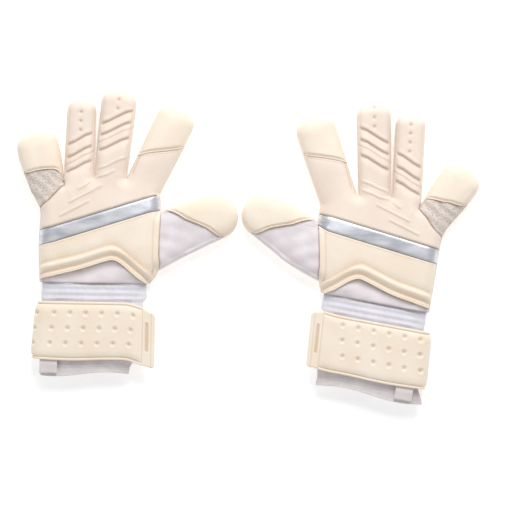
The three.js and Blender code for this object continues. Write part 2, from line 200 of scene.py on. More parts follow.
PATCH_FROM, PATCH_TO, PATCH_STEP = -70.0, -26.0, 0.8
LOOP_LEFT, LOOP_RIGHT = 12.0, 36.0     # the patch of loops, and the one of hooks that meets it
HOOK_LEFT, HOOK_RIGHT = 22.0, 46.0
TAPE_LEFT, TAPE_RIGHT, TAPE_FROM, TAPE_TO = -52.5, -35.0, -90.0, -75.0
TAPE_LOW, TAPE_HIGH = 19.8, 22.4       # heights of the pull loop's two layers

# The studio, in metres.
FLOOR_Z = -0.0004
FLOOR_GLOW = 0.35
WORLD_GLOW = 0.54
LIGHTS = (("key", (0.25, 1.35, 1.25), 1.0, 23), ("fill", (-0.9, -1.0, 1.3), 1.4, 2))   # place, size and power
CAMERA_HEIGHT = 2.0
VIEW_WIDTH = 0.51       # across the frame, at the height of the gloves' edges
VIEW_LEVEL = 0.013
VIEW_CENTRE = (0.007, -0.007)


# ---------- plane geometry ----------
def smoothstep(low, high, x):
    t = np.clip((x - low) / (high - low), 0, 1)
    return t * t * (3 - 2 * t)


def rounded(x):
    """A quarter circle: 0 at x = 0, level at 1 from x = 1 on."""
    x = np.clip(x, 0, 1)
    return np.sqrt(np.maximum(0, 1 - (1 - x) ** 2))


def bump(x, width):
    return np.exp(-((x / width) ** 2))


def folds(x, y, degrees, length, phase):
    """Soft irregular folds from -1 to 1, running along that direction."""
    a = math.radians(degrees)
    across = y * math.cos(a) - x * math.sin(a)
    along = x * math.cos(a) + y * math.sin(a)
    bend = 0.3 * length * np.sin(along / (1.9 * length) + phase)
    swell = 0.55 + 0.45 * np.sin(along / (1.3 * length) + 2.1 * phase + across / (2.7 * length))
    return np.sin(2 * math.pi * (across + bend) / length + phase) * swell


def turned(points, origin, degrees):
    points = np.atleast_2d(np.asarray(points, float))
    a = math.radians(degrees)
    x = origin[0] + points[:, 0] * math.cos(a) - points[:, 1] * math.sin(a)
    y = origin[1] + points[:, 0] * math.sin(a) + points[:, 1] * math.cos(a)
    return np.column_stack([x, y])


def unturned(points, origin, degrees):
    return turned(np.atleast_2d(points) - np.array(origin), (0, 0), -degrees)


def inside(polygon, points):
    """Which points lie inside the closed polygon."""
    polygon, points = np.asarray(polygon, float), np.atleast_2d(points)
    x, y = points[:, 0], points[:, 1]
    found = np.zeros(len(points), bool)
    for (x1, y1), (x2, y2) in zip(polygon, np.roll(polygon, -1, axis=0)):
        if y1 != y2:
            found ^= ((y1 > y) != (y2 > y)) & (x < (x2 - x1) * (y - y1) / (y2 - y1) + x1)
    return found


def resampled(points, step, closed=False):
    """The polyline with points about a step apart, its corners kept."""
    points = np.asarray(points, float)
    if closed:
        points = np.vstack([points, points[:1]])
    made = []
    for a, b in zip(points[:-1], points[1:]):
        count = max(1, int(round(np.linalg.norm(b - a) / step)))
        made.extend(a + (b - a) * (i / count) for i in range(count))
    if not closed:
        made.append(points[-1])
    return np.array(made)


def curve(points, step=1.0):
    """A smooth curve through the points (Catmull-Rom), with points about a step apart."""
    p = np.asarray(points, float)
    p = np.vstack([2 * p[0] - p[1], p, 2 * p[-1] - p[-2]])
    made = []
    for i in range(1, len(p) - 2):
        a, b, c, d = p[i - 1 : i + 3]
        count = max(2, int(round(np.linalg.norm(c - b) / step)))
        for t in np.arange(count) / count:
            bent = (2 * a - 5 * b + 4 * c - d) * t**2 + (3 * b - a - 3 * c + d) * t**3
            made.append(0.5 * (2 * b + (c - a) * t + bent))
    made.append(p[-2])
    return np.array(made)


def tree_of(points):
    tree = KDTree(len(points))
    for i, point in enumerate(points):
        tree.insert((point[0], point[1], 0), i)
    tree.balance()
    return tree


def distance_to(tree, points):
    return np.array([tree.find((x, y, 0))[2] for x, y in points])


def side_of(line, points):
    """Signed distance from the line, positive on its left, and the distance along it of the nearest point."""
    line = np.asarray(line, float)
    best, signed, along = np.full(len(points), 1e9), np.zeros(len(points)), np.zeros(len(points))
    run = 0.0
    for a, b in zip(line[:-1], line[1:]):
        d = b - a
        length = np.linalg.norm(d)
        t = np.clip(((points - a) @ d) / length**2, 0, 1)
        gap = np.linalg.norm(points - (a + t[:, None] * d), axis=1)
        cross = d[0] * (points[:, 1] - a[1]) - d[1] * (points[:, 0] - a[0])
        closer = gap < best - 1e-9
        best[closer] = gap[closer]
        signed[closer] = np.copysign(gap, cross)[closer]
        along[closer] = run + t[closer] * length
        run += length
    return signed, along


# ---------- the layout of one glove ----------
class Layout:
    """A glove's outlines, seams and frames, flat, and the way from there into the row frame."""

    def __init__(self, side):
        self.spec = GLOVES[side]
        self.mirror = self.spec["mirror"]
        knuckle = next(j for j in frame["joints"] if j["name"] == side + "_middle_knuckle")
        base = self.spec["fingers"]["middle"]["base"]
        x, y, _ = (c / MM for c in knuckle["pos_m"])
        self.place = (x - self.mirror * base[0], y - base[1])
        self.hand = self.hand_outline()
        self.stalls = {f: self.stall_outline(f) for f in self.spec["fingers"]}
        self.thumb = self.thumb_outline()
        self.shapes = [self.hand, *self.stalls.values(), self.thumb]
        self.make_seams()

    # frames
    def row(self, points, z=0.0):
        """Layout points at that height, in the row frame, in metres."""
        points = np.atleast_2d(np.asarray(points, float))
        z = np.broadcast_to(np.asarray(z, float), (len(points),))
        x = self.place[0] + self.mirror * points[:, 0]
        return np.column_stack([x, self.place[1] + points[:, 1], z]) * MM

    def placed(self, points):
        """Points with their heights in millimetres, in the row frame, in metres."""
        return self.row(points[:, :2], points[:, 2])

    def unplaced(self, points):
        """Layout points under points of the row frame."""
        return points[:, :2] / MM * (self.mirror, 1) - np.array(self.place) * (self.mirror, 1)

    def from_finger(self, finger, points):
        f = self.spec["fingers"][finger]
        return turned(points, f["base"], -f["splay"])

    def to_finger(self, finger, points):
        f = self.spec["fingers"][finger]
        return unturned(points, f["base"], -f["splay"])

    def from_thumb(self, points):
        return turned(points, *self.spec["thumb"])

    def to_thumb(self, points):
        return unturned(points, *self.spec["thumb"])

    def from_wrist(self, points):
        return turned(points, *self.spec["wrist"])

    def to_wrist(self, points):
        return unturned(points, *self.spec["wrist"])

    def shoulder(self, finger):
        """How far along a stall its tip starts to round off."""
        f = self.spec["fingers"][finger]
        return f["length"] - TIP_SHARE * f["widths"][1]

    def half_width(self, finger, along):
        root, tip = self.spec["fingers"][finger]["widths"]
        shoulder = self.shoulder(finger)
        share = smoothstep(-0.25 * shoulder, shoulder * 0.9, along)
        return (root + (tip - root) * share) / 2

    def on_finger(self, finger, points):
        """Points in the finger's frame, and the stall's half width beside each."""
        local = self.to_finger(finger, points)
        return local, self.half_width(finger, np.maximum(local[:, 1], 0))

    # outlines
    def stall_outline(self, finger):
        f = self.spec["fingers"][finger]
        tip_half = f["widths"][1] / 2
        shoulder = self.shoulder(finger)
        sides = np.linspace(0, shoulder, 24)
        half = self.half_width(finger, sides)
        arc = np.linspace(0, math.pi, 40)[1:-1]
        across = tip_half * np.sign(np.cos(arc)) * np.abs(np.cos(arc)) ** TIP_BLUNT
        up = shoulder + (f["length"] - shoulder) * np.sin(arc) ** TIP_BLUNT
        root = 0.7 * half[0]
        outline = np.vstack(
            [
                [(root, -12)],
                np.column_stack([half, sides]),
                np.column_stack([across, up]),
                np.column_stack([-half, sides])[::-1],
                [(-root, -12)],
            ]
        )
        return self.from_finger(finger, outline)

    def hand_outline(self):
        knuckles = []
        for finger in ("little", "ring", "middle", "index"):
            half = self.spec["fingers"][finger]["widths"][0] / 2
            knuckles.extend(self.from_finger(finger, [(-half, 0), (half, 0)]))
        corners = self.from_wrist([(-WRIST_HALF, 0), (WRIST_HALF, 0)])
        little = curve([corners[0], *self.spec["little_edge"], knuckles[0]])
        self.thumb_side = curve([knuckles[-1], *self.spec["thumb_edge"], corners[1]])
        return np.vstack([little, knuckles[1:-1], self.thumb_side])

    def thumb_outline(self):
        arc = np.radians(np.linspace(90, -78, 34))
        tip = np.array(THUMB_TIP) + THUMB_RADIUS * np.column_stack([np.cos(arc), np.sin(arc)])
        top = curve([(-4, -1.5), (10, -0.4), (28, -0.6), tip[0]])
        u, v = self.to_thumb([self.spec["thumb_edge"][2]])[0]
        bottom = curve([tip[-1], (26, -48.5), (2, -51.5), (u + 1, v), (u - 5, v + 3)])
        return self.from_thumb(np.vstack([top[:-1], tip, bottom[1:]]))

    # seams
    def chevron_line(self, up):
        """The chevron's edge that far above its lower one, from the little finger's side to the thumb's."""
        x, y = self.spec["chevron_peak"]
        reach = WRIST_HALF + 8
        points = [
            (-reach, -2),
            (-reach + 16, 6),
            (-14, y - 9.5),
            (x - 9, y - 1.6),
            (x, y),
            (x + 8, y - 3.6),
            (x + 20, y - 13.5),
            (reach, -8),
        ]
        return self.from_wrist(curve([(s, t + up) for s, t in points]))

    def sash_line(self, across):
        rise = math.tan(SASH_SLOPE)
        return np.array([(x, SASH_RISES_FROM + rise * x + across / math.cos(SASH_SLOPE)) for x in (-75, 75)])

    def make_seams(self):
        """The lines that pieces are cut along, by name."""
        self.roots = {}
        for finger in self.spec["fingers"]:
            half = self.spec["fingers"][finger]["widths"][0] / 2 + STALL_MARGIN
            corners = [(-half, 0.5), (-half, SOFT_START), (half, SOFT_START), (half, 0.5)]
            self.roots[finger + "_root"] = self.from_finger(finger, corners)
        index_cap, little_cap = curve(self.spec["index_cap"]), curve(self.spec["little_cap"])
        corner = np.array(self.spec["little_edge"][2])
        web = self.from_finger("little", [(16.5, SOFT_START)])[0]
        edge = self.thumb_side
        direction = tangents(edge)
        inward = np.column_stack([direction[:, 1], -direction[:, 0]])
        self.seams = {
            "index_cap": self.from_finger("index", index_cap),
            "little_cap": self.from_finger("little", little_cap),
            "mesh_edge": curve([corner + (-6, -5), corner + (6, 7), web + (-6, -3), web]),
            "sash_low": self.sash_line(0),
            "sash_high": self.sash_line(SASH_WIDTH),
            "chevron_low": self.chevron_line(0),
            "chevron_high": self.chevron_line(CHEVRON_DEPTH),
            "binding": edge + inward * BINDING,
            "thumb_seam": self.from_thumb(curve([(-2, 0.5), (12, -9), (32, -25.5), (52, -45), (59, -51)])),
        }

    def vents(self):
        """The vent dimples of the flat fingers."""
        made = []
        for finger, (first, _, _) in GROOVES.items():
            along = first + VENT_START + VENT_PITCH * np.arange(VENT_COUNT)
            along = along[along < self.spec["fingers"][finger]["length"] - VENT_CLEAR]
            made.append(self.from_finger(finger, [(0, y) for y in along]))
        return np.vstack(made)

    def in_union(self, points):
        return np.any([inside(s, points) for s in self.shapes], axis=0)

    def silhouette(self):
        """Points along the outside edge, without the wrist's open end."""
        made = []
        for i, shape in enumerate(self.shapes):
            samples = resampled(shape, EDGE_STEP, closed=True)
            hidden = np.any([inside(s, samples) for k, s in enumerate(self.shapes) if k != i], axis=0)
            if i == 0:
                hidden |= self.to_wrist(samples)[:, 1] < EDGE_STEP
            made.append(samples[~hidden])
        return np.vstack(made)

    def stall_share(self, points):
        """How far each point is past the knuckles, from 0 on the hand to 1 on a finger."""
        share = np.zeros(len(points))
        for finger in self.spec["fingers"]:
            local, half = self.on_finger(finger, points)
            gap = np.abs(local[:, 0]) - half
            share = np.maximum(share, smoothstep(-38, 8, local[:, 1]) * smoothstep(16, -2, gap))
        return share

    def stall_at(self, points):
        """How far out along its finger each point lies: far below zero where it lies on no finger."""
        out = np.full(len(points), -FAR)
        for finger in self.spec["fingers"]:
            local, half = self.on_finger(finger, points)
            near = np.abs(local[:, 0]) < half + 3
            out = np.maximum(out, np.where(near, local[:, 1], -FAR))
        return out

    def in_stall(self, finger, points):
        """Which points belong to the finger's pieces."""
        local, half = self.on_finger(finger, points)
        return (local[:, 1] > SOFT_START) & (np.abs(local[:, 0]) < half + STALL_MARGIN)

    def in_thumb(self, points):
        return ~inside(self.hand, points) & inside(self.thumb, points)

    def thumb_share(self, points):
        local = self.to_thumb(points)
        return smoothstep(-22, 16, local[:, 0]) * (points[:, 0] > 30)


class Sheet:
    """A triangulated layout. Its points crowd towards the silhouette, where the surface turns down."""

    def __init__(self, layout, pitch, lines, dots=()):
        self.layout = layout
        shapes = [resampled(s, pitch, closed=True) for s in layout.shapes]
        lines = [resampled(s, pitch) for s in lines]
        rings = []
        for dot in dots:
            for share, count in VENT_RINGS:
                rings.append(dot + circle(share * VENT_RADIUS, count))
            rings.append([dot])
        fixed = np.vstack([*shapes, *lines, *rings])
        low, high = fixed.min(0) - pitch, fixed.max(0) + pitch
        across = np.arange(low[0], high[0], pitch)
        rows = np.arange(low[1], high[1], pitch * math.sqrt(3) / 2)
        grid = []
        for i, y in enumerate(rows):
            grid.append(np.column_stack([across + (i % 2) * pitch / 2, 0 * across + y]))
        grid = np.vstack(grid)
        grid = grid[layout.in_union(grid)]
        grid = grid[distance_to(tree_of(fixed), grid) > 0.55 * pitch]
        points = [Vector(p) for p in np.vstack([grid, *rings])]
        edges = []
        for line, closed in [(s, True) for s in shapes] + [(s, False) for s in lines]:
            first = len(points)
            points.extend(Vector(p) for p in line)
            edges.extend((first + i, first + i + 1) for i in range(len(line) - 1))
            if closed:
                edges.append((first + len(line) - 1, first))
        made = delaunay_2d_cdt(points, edges, [], 0, 0.02)
        flat = np.array([tuple(v) for v in made[0]])
        triangles = np.array([f for f in made[2] if len(f) == 3])
        triangles = triangles[layout.in_union(flat[triangles].mean(1))]
        a, b, c = (flat[triangles[:, i]] for i in range(3))
        area = (b[:, 0] - a[:, 0]) * (c[:, 1] - a[:, 1]) - (b[:, 1] - a[:, 1]) * (c[:, 0] - a[:, 0])
        triangles[area < 0] = triangles[area < 0][:, ::-1]
        self.triangles = triangles[np.abs(area) > 1e-5]
        self.centres = flat[self.triangles].mean(1)
        self.find_depths(flat)

    def find_depths(self, flat):
        """Finds each point's distance in from the silhouette, and moves it to sample the turn evenly."""
        edge = self.layout.silhouette()
        tree = tree_of(edge)
        found = [tree.find((x, y, 0)) for x, y in flat]
        nearest = np.array([f[0][:2] for f in found])
        depth = np.array([f[2] for f in found])
        away = flat - nearest
        self.turn = self.turn_width(flat)
        share = np.clip(depth / self.turn, 0, 1)
        moved = np.where(depth < self.turn, self.turn * (1 - np.cos(share * math.pi / 2)), depth)
        scale = np.where(depth > 1e-6, moved / np.maximum(depth, 1e-6), 1)
        self.laid = flat
        self.points = nearest + away * scale[:, None]
        self.depth = moved
        self.out = self.rim_normals()

    def rim_normals(self):
        """At points on the silhouette, the outward direction; zero inland and at the wrist's open end."""
        out = np.zeros((len(self.laid), 2))
        for a, b in boundary_of(self.triangles):
            x, y = self.laid[b] - self.laid[a]
            length = max(math.hypot(x, y), 1e-6)
            out[[a, b]] += (y / length, -x / length)
        out /= np.maximum(np.linalg.norm(out, axis=1), 1e-6)[:, None]
        open_end = self.layout.to_wrist(self.laid)[:, 1] < EDGE_STEP
        out[(self.depth > EDGE_STEP) | open_end] = 0
        return out

    def turn_width(self, points):
        """How wide the turned-down edge is: wide on rolled fingers, narrow on flat ones."""
        layout = self.layout
        width = np.full(len(points), HAND_ROUND)
        for finger in layout.spec["fingers"]:
            local, half = layout.on_finger(finger, points)
            near = np.abs(local[:, 0]) < half + 1
            share = smoothstep(-6, 22, local[:, 1]) * near
            goal = FLAT_ROUND if finger in GROOVES else ROLL_ROUND
            width += (goal - HAND_ROUND) * share
        return width + (ROLL_ROUND - HAND_ROUND) * layout.thumb_share(points)


# ---------- meshes ----------
def boundary_of(triangles):
    """The directed edges that only one triangle has."""
    edges = np.vstack([triangles[:, [0, 1]], triangles[:, [1, 2]], triangles[:, [2, 0]]])
    known = {(a, b) for a, b in edges.tolist()}
    return [(a, b) for a, b in known if (b, a) not in known]


def chained(edges):
    """Directed edges joined into paths of points; a closed one ends where it starts."""
    following = {}
    for a, b in edges:
        following.setdefault(a, []).append(b)
    ends = {b for _, b in edges}
    starts = sorted(a for a in following if a not in ends) + sorted(following)
    paths = []
    for start in starts:
        while following.get(start):
            path = [start]
            while following.get(path[-1]):
                path.append(following[path[-1]].pop())
            paths.append(path)
    return paths


def facing_out(points, faces):
    """The faces of a closed body, all turned round if they face inwards."""
    fan = np.array([(f[0], f[i], f[i + 1]) for f in faces for i in range(1, len(f) - 1)])
    a, b, c = (np.asarray(points)[fan[:, i]] for i in range(3))
    if np.einsum("ij,ij->", a, np.cross(b, c)) < 0:
        return [tuple(reversed(f)) for f in faces]
    return faces


def add_mesh(name, points, faces, look, painted_shade=None):
    """A new object from points in metres, smooth except over sharp edges. The last argument says how much
    painted shade each point gets in creases and hollows.
    """
    mesh = bpy.data.meshes.new(name)
    faces = facing_out(points, faces)
    mesh.from_pydata(np.asarray(points).tolist(), [], [tuple(int(i) for i in f) for f in faces])
    mesh.polygons.foreach_set("use_smooth", [True] * len(mesh.polygons))
    mesh.update()
    mesh.set_sharp_from_angle(angle=math.radians(SHARP_ANGLE))
    # each point's painted shade, by which its material darkens it
    attribute = mesh.attributes.new("crease_shade", "FLOAT", "POINT")
    values = np.zeros(len(mesh.vertices)) if painted_shade is None else np.asarray(painted_shade, float)
    attribute.data.foreach_set("value", values.astype(np.float32))
    mesh.materials.append(look)
    made = bpy.data.objects.new(name, mesh)
    bpy.context.scene.collection.objects.link(made)
    return made


def slab(top_xy, top_z, low_xy, low_z, triangles, out, rows=(), swell=0.0):
    """A closed body between two surfaces over the same triangles: its points, faces, and each point's source.

    rows are the heights, as shares of the way down, of the extra rings of points on its side wall, which
    stands out by swell along out at mid height."""
    used = np.unique(triangles)
    index = {int(v): i for i, v in enumerate(used)}
    count = len(used)
    points = [np.column_stack([top_xy[used], top_z[used]]), np.column_stack([low_xy[used], low_z[used]])]
    source = [used, used]
    faces = [tuple(index[v] for v in t) for t in triangles.tolist()]
    faces += [tuple(count + i for i in reversed(f)) for f in faces]
    edges = boundary_of(triangles)
    ring = sorted({a for a, _ in edges} | {b for _, b in edges})
    levels = [{v: index[v] for v in ring}]
    for share in rows:
        first = sum(len(p) for p in points)
        at = np.array(ring)
        xy = top_xy[at] * (1 - share) + low_xy[at] * share + out[at] * (swell * math.sin(math.pi * share))
        xy = np.where(np.linalg.norm(out[at], axis=1)[:, None] > 0.1, xy, top_xy[at])
        points.append(np.column_stack([xy, top_z[at] * (1 - share) + low_z[at] * share]))
        source.append(at)
        levels.append({v: first + i for i, v in enumerate(ring)})
    levels.append({v: count + index[v] for v in ring})
    for upper, lower in zip(levels[:-1], levels[1:]):
        faces += [(lower[a], lower[b], upper[b], upper[a]) for a, b in edges]
    return np.vstack(points), faces, np.concatenate(source)


def around(rings, width, closed):
    """The faces that join rings of that many points, the last ring to the first as well if closed."""
    faces = []
    for i in range(rings if closed else rings - 1):
        a, b = i * width, ((i + 1) % rings) * width
        for k in range(width):
            n = (k + 1) % width
            faces.append((a + k, b + k, b + n, a + n))
    return faces


def swept(path, side, up, section):
    """A closed section swept along a path: at each point, section's pairs are steps along side and up."""
    path, side, up = (np.asarray(v, float) for v in (path, side, up))
    section = np.asarray(section, float)
    if section.ndim == 2:
        section = np.broadcast_to(section, (len(path), *section.shape))
    points = path[:, None] + side[:, None] * section[:, :, :1] + up[:, None] * section[:, :, 1:]
    rings, width = len(path), section.shape[1]
    faces = around(rings, width, closed=False)
    faces.append(tuple(range(width)))
    faces.append(tuple(reversed(range((rings - 1) * width, rings * width))))
    return points.reshape(-1, 3), faces


def layered(outer, inner):
    """A closed body between two grids of points of the same shape: its points and faces."""
    rows, width = outer.shape[:2]
    points = np.vstack([outer.reshape(-1, 3), inner.reshape(-1, 3)])
    index = np.arange(rows * width).reshape(rows, width)
    under = index + rows * width
    faces = []
    for i in range(rows - 1):
        for k in range(width - 1):
            faces.append((index[i, k], index[i + 1, k], index[i + 1, k + 1], index[i, k + 1]))
            faces.append((under[i, k], under[i, k + 1], under[i + 1, k + 1], under[i + 1, k]))
    rim = [*index[0, :-1], *index[:-1, -1], *index[-1, :0:-1], *index[:0:-1, 0]]
    for a, b in zip(rim, rim[1:] + rim[:1]):
        faces.append((a, b, b + rows * width, a + rows * width))
    return points, faces


def ringed(rings):
    """A body like a tyre from rings of points: the last ring is joined to the first."""
    return rings.reshape(-1, 3), around(*rings.shape[:2], closed=True)


def circle(radius, sides=8):
    a = np.arange(sides) * 2 * math.pi / sides
    return radius * np.column_stack([np.cos(a), np.sin(a)])


def tangents(path):
    """The direction of a path at each of its points."""
    along = np.gradient(np.asarray(path, float), axis=0)
    return along / np.maximum(np.linalg.norm(along, axis=1), 1e-6)[:, None]


def frames_along(path):
    """For a path of 3D points: side and up directions square to it."""
    along = tangents(path)
    side = np.cross(along, (0, 0, 1.0))
    side /= np.linalg.norm(side, axis=1)[:, None]
    return side, np.cross(side, along)


class Bundle:
    """Several bodies gathered into one mesh."""

    def __init__(self):
        self.points, self.faces, self.count = [], [], 0

    def add(self, points, faces):
        self.points.append(points)
        self.faces.extend(tuple(i + self.count for i in f) for f in facing_out(points, faces))
        self.count += len(points)

    def whole(self):
        return np.vstack(self.points), self.faces


def add_cord(bundle, layout, path, radius):
    """A thin round cord along a path given in layout millimetres."""
    side, up = frames_along(path)
    section = np.broadcast_to(circle(radius), (len(path), 8, 2)).copy()
    section[[0, -1]] *= 0.5
    points, faces = swept(path, side, up, section)
    bundle.add(layout.placed(points), faces)


def add_stitches(bundle, layout, path):
    """A row of short raised stitches, one for each step of the path."""
    share = np.array((0.12, 0.24, 0.5, 0.76, 0.88))[:, None]
    size = np.array((0.35, 0.85, 1.0, 0.85, 0.35))[:, None, None]
    for a, b in zip(path[:-1], path[1:]):
        if not 0.5 < np.linalg.norm(b - a) < 2 * STITCH_PITCH:
            continue
        line = a + (b - a) * share + (0, 0, 0.1)
        side, up = frames_along(line)
        points, faces = swept(line, side, up, circle(STITCH, 6) * size)
        bundle.add(layout.placed(points), faces)


# ---------- materials ----------
def rgb(red, green, blue):
    """A colour given from 0 to 255 as the eye sees it, in the linear numbers that the shader takes."""
    values = [c / 255 for c in (red, green, blue)]
    return (*[c / 12.92 if c <= 0.04045 else ((c + 0.055) / 1.055) ** 2.4 for c in values], 1.0)


class Look:
    """A procedural material on a Principled shader, built up step by step. Colours run from 0 to 255."""

    def __init__(self, name, roughness, metallic=0.0, sheen=0.0, specular=0.4):
        self.material = bpy.data.materials.new(name)
        self.material.use_nodes = True
        self.tree = self.material.node_tree
        self.shader = self.tree.nodes["Principled BSDF"]
        self.shader.inputs["Roughness"].default_value = roughness
        self.shader.inputs["Metallic"].default_value = metallic
        self.shader.inputs["Sheen Weight"].default_value = sheen
        self.shader.inputs["Specular IOR Level"].default_value = specular
        self.place = self.node("ShaderNodeTexCoord").outputs["Object"]
        self.normal = None

    def node(self, kind, **settings):
        made = self.tree.nodes.new(kind)
        for name, value in settings.items():
            setattr(made, name, value)
        return made

    def join(self, output, target):
        self.tree.links.new(output, target)

    def mapped(self, socket, value, kind, **settings):
        """A texture node on object coordinates that are scaled or turned first."""
        mapping = self.node("ShaderNodeMapping")
        mapping.inputs[socket].default_value = value
        self.join(self.place, mapping.inputs["Vector"])
        made = self.node(kind, **settings)
        self.join(mapping.outputs[0], made.inputs["Vector"])
        return made

    def noise(self, size, detail=2.0, stretch=(1, 1, 1)):
        """Noise whose features are about that many millimetres across."""
        made = self.mapped("Scale", stretch, "ShaderNodeTexNoise")
        made.inputs["Scale"].default_value = 1 / (size * MM)
        made.inputs["Detail"].default_value = detail
        return made.outputs["Fac"]

    def waves(self, period, direction="X", degrees=0.0, distortion=0.0):
        """Parallel waves with that many millimetres from crest to crest."""
        turn = (0, 0, math.radians(degrees))
        made = self.mapped("Rotation", turn, "ShaderNodeTexWave", bands_direction=direction)
        made.inputs["Scale"].default_value = 2 * math.pi / (20 * period * MM)
        made.inputs["Distortion"].default_value = distortion
        made.inputs["Detail"].default_value = 1.0
        return made.outputs["Fac"]

    def cells(self, size):
        """Distance from the middle of a cell, for cells about that many millimetres across."""
        made = self.node("ShaderNodeTexVoronoi")
        made.inputs["Scale"].default_value = 1 / (size * MM)
        self.join(self.place, made.inputs["Vector"])
        return made.outputs["Distance"]

    def times(self, a, b):
        """A value times another value or a number."""
        made = self.node("ShaderNodeMath", operation="MULTIPLY")
        self.join(a, made.inputs[0])
        if isinstance(b, (int, float)):
            made.inputs[1].default_value = b
        else:
            self.join(b, made.inputs[1])
        return made.outputs[0]

    def colour(self, value, low, high, start=0.3, end=0.7):
        """The base colour runs from low to high as the value does from start to end."""
        ramp = self.node("ShaderNodeValToRGB")
        for element, at, shade in zip(ramp.color_ramp.elements, (start, end), (low, high)):
            element.position = at
            element.color = rgb(*shade)
        self.join(value, ramp.inputs["Fac"])
        self.join(ramp.outputs["Color"], self.shader.inputs["Base Color"])

    def tint(self, value, shade, amount):
        """The base colour so far is mixed towards a shade by the value times amount."""
        mix = self.node("ShaderNodeMix", data_type="RGBA")
        linked = self.shader.inputs["Base Color"].links[0]
        source = linked.from_socket
        self.tree.links.remove(linked)
        self.join(self.times(value, amount), mix.inputs["Factor"])
        self.join(source, mix.inputs[6])
        mix.inputs[7].default_value = rgb(*shade)
        self.join(mix.outputs[2], self.shader.inputs["Base Color"])

    def crease_shade(self, shade, amount=0.8):
        """Painted shade: seams, grooves, vents and dimples are darkened towards the shade colour by the
        amount the mesh holds.
        """
        attribute = self.node("ShaderNodeAttribute", attribute_name="crease_shade")
        self.tint(attribute.outputs["Fac"], shade, amount)

    def roughen(self, value, low, high):
        made = self.node("ShaderNodeMapRange")
        made.inputs["To Min"].default_value = low
        made.inputs["To Max"].default_value = high
        self.join(value, made.inputs["Value"])
        self.join(made.outputs[0], self.shader.inputs["Roughness"])

    def bump(self, value, height, strength=1.0):
        """The value raises the surface by up to that many millimetres."""
        made = self.node("ShaderNodeBump")
        made.inputs["Strength"].default_value = strength
        made.inputs["Distance"].default_value = height * MM
        self.join(value, made.inputs["Height"])
        if self.normal is not None:
            self.join(self.normal, made.inputs["Normal"])
        self.normal = made.outputs["Normal"]
        self.join(self.normal, self.shader.inputs["Normal"])


# Latex: name, low and high colour, and the colour of the painted shade in its creases, which also tints it at
# random.
LATEX = {
    "latex": ("cream_latex_look", (250, 234, 214), (254, 243, 227), (200, 158, 118)),
    "embossed": ("embossed_latex_look", (242, 226, 211), (249, 235, 222), (192, 152, 124)),
}
# Woven and knitted cloth: the same, then the weave's period, its depth and its direction in degrees.
CLOTH_LOOKS = {
    "fabric": ("stretch_fabric_look", (231, 222, 226), (244, 238, 241), (156, 138, 150), 0.9, 0.12, 45),
    "gusset": ("gusset_knit_look", (238, 226, 220), (247, 238, 232), (176, 150, 138), 0.9, 0.12, 45),
    "cuff": ("cuff_knit_look", (217, 209, 210), (233, 227, 227), (140, 126, 130), 1.3, 0.2, 0),
    "tape": ("woven_tape_look", (226, 217, 217), (241, 234, 233), (156, 142, 144), 0.7, 0.15, 0),
}


def latex_look(name, low, high, shadow):
    look = Look(name, 0.55, sheen=0.05, specular=0.35)
    look.colour(look.noise(28, 3), low, high)
    look.tint(look.noise(2.2, 4), shadow, 0.10)
    # painted shade in seams, grooves, vents and dimples
    look.crease_shade(shadow, 0.7)
    look.roughen(look.noise(3, 3), 0.48, 0.68)
    look.bump(look.noise(0.9, 3), 0.10)
    look.bump(look.noise(7, 2), 0.25, 0.5)
    return look


def cloth_look(name, low, high, shadow, period, depth, direction):
    look = Look(name, 0.9, sheen=0.35, specular=0.2)
    look.colour(look.noise(16, 3), low, high)
    # painted shade along seams, where the mesh holds it
    look.crease_shade(shadow)
    weave = look.times(look.waves(period, "X", direction), look.waves(period, "Y", direction))
    look.tint(weave, shadow, 0.18)
    look.roughen(look.noise(2.5, 3), 0.82, 0.97)
    look.bump(weave, depth)
    look.bump(look.noise(5, 3), 0.35, 0.6)
    return look


def make_looks():
    looks = {key: latex_look(*row) for key, row in LATEX.items()}
    looks.update({key: cloth_look(*row) for key, row in CLOTH_LOOKS.items()})

    foil = looks["foil"] = Look("silver_foil_look", 0.42, metallic=0.8, specular=0.45)
    foil.colour(foil.noise(26, 2, (1, 3, 1)), (194, 197, 205), (240, 241, 246))
    foil.tint(foil.noise(1.6, 4), (150, 152, 162), 0.2)
    # painted shade, nearly black, along the sash's edges
    foil.crease_shade((40, 40, 46), 0.9)
    foil.roughen(foil.noise(2, 3), 0.36, 0.5)
    foil.bump(foil.waves(1.1, "Y", 17), 0.05)

    mesh = looks["mesh"] = Look("grey_mesh_look", 0.85, sheen=0.2, specular=0.2)
    mesh.colour(mesh.cells(1.7), (164, 147, 138), (232, 222, 214), 0.1, 0.42)
    mesh.tint(mesh.waves(9, "X", -50, 3), (190, 170, 156), 0.45)
    # painted shade along its seams
    mesh.crease_shade((110, 88, 76))
    mesh.bump(mesh.cells(1.7), 0.4)

    elastic = looks["elastic"] = Look("white_elastic_look", 0.85, sheen=0.25, specular=0.25)
    elastic.colour(elastic.noise(14, 3), (235, 234, 243), (246, 246, 251))
    elastic.tint(elastic.waves(1.2, "X"), (196, 192, 214), 0.22)
    # painted shade where the mesh holds it
    elastic.crease_shade((150, 142, 172))
    elastic.bump(elastic.waves(1.2, "X"), 0.16)
    elastic.bump(elastic.waves(0.8, "Y"), 0.1)

    thread = looks["thread"] = Look("thread_look", 0.7, sheen=0.2, specular=0.3)
    thread.colour(thread.noise(1.2, 2), (222, 206, 184), (246, 236, 220))
    thread.bump(thread.waves(0.5, "X", 30), 0.1)
    return {name: look.material for name, look in looks.items()}


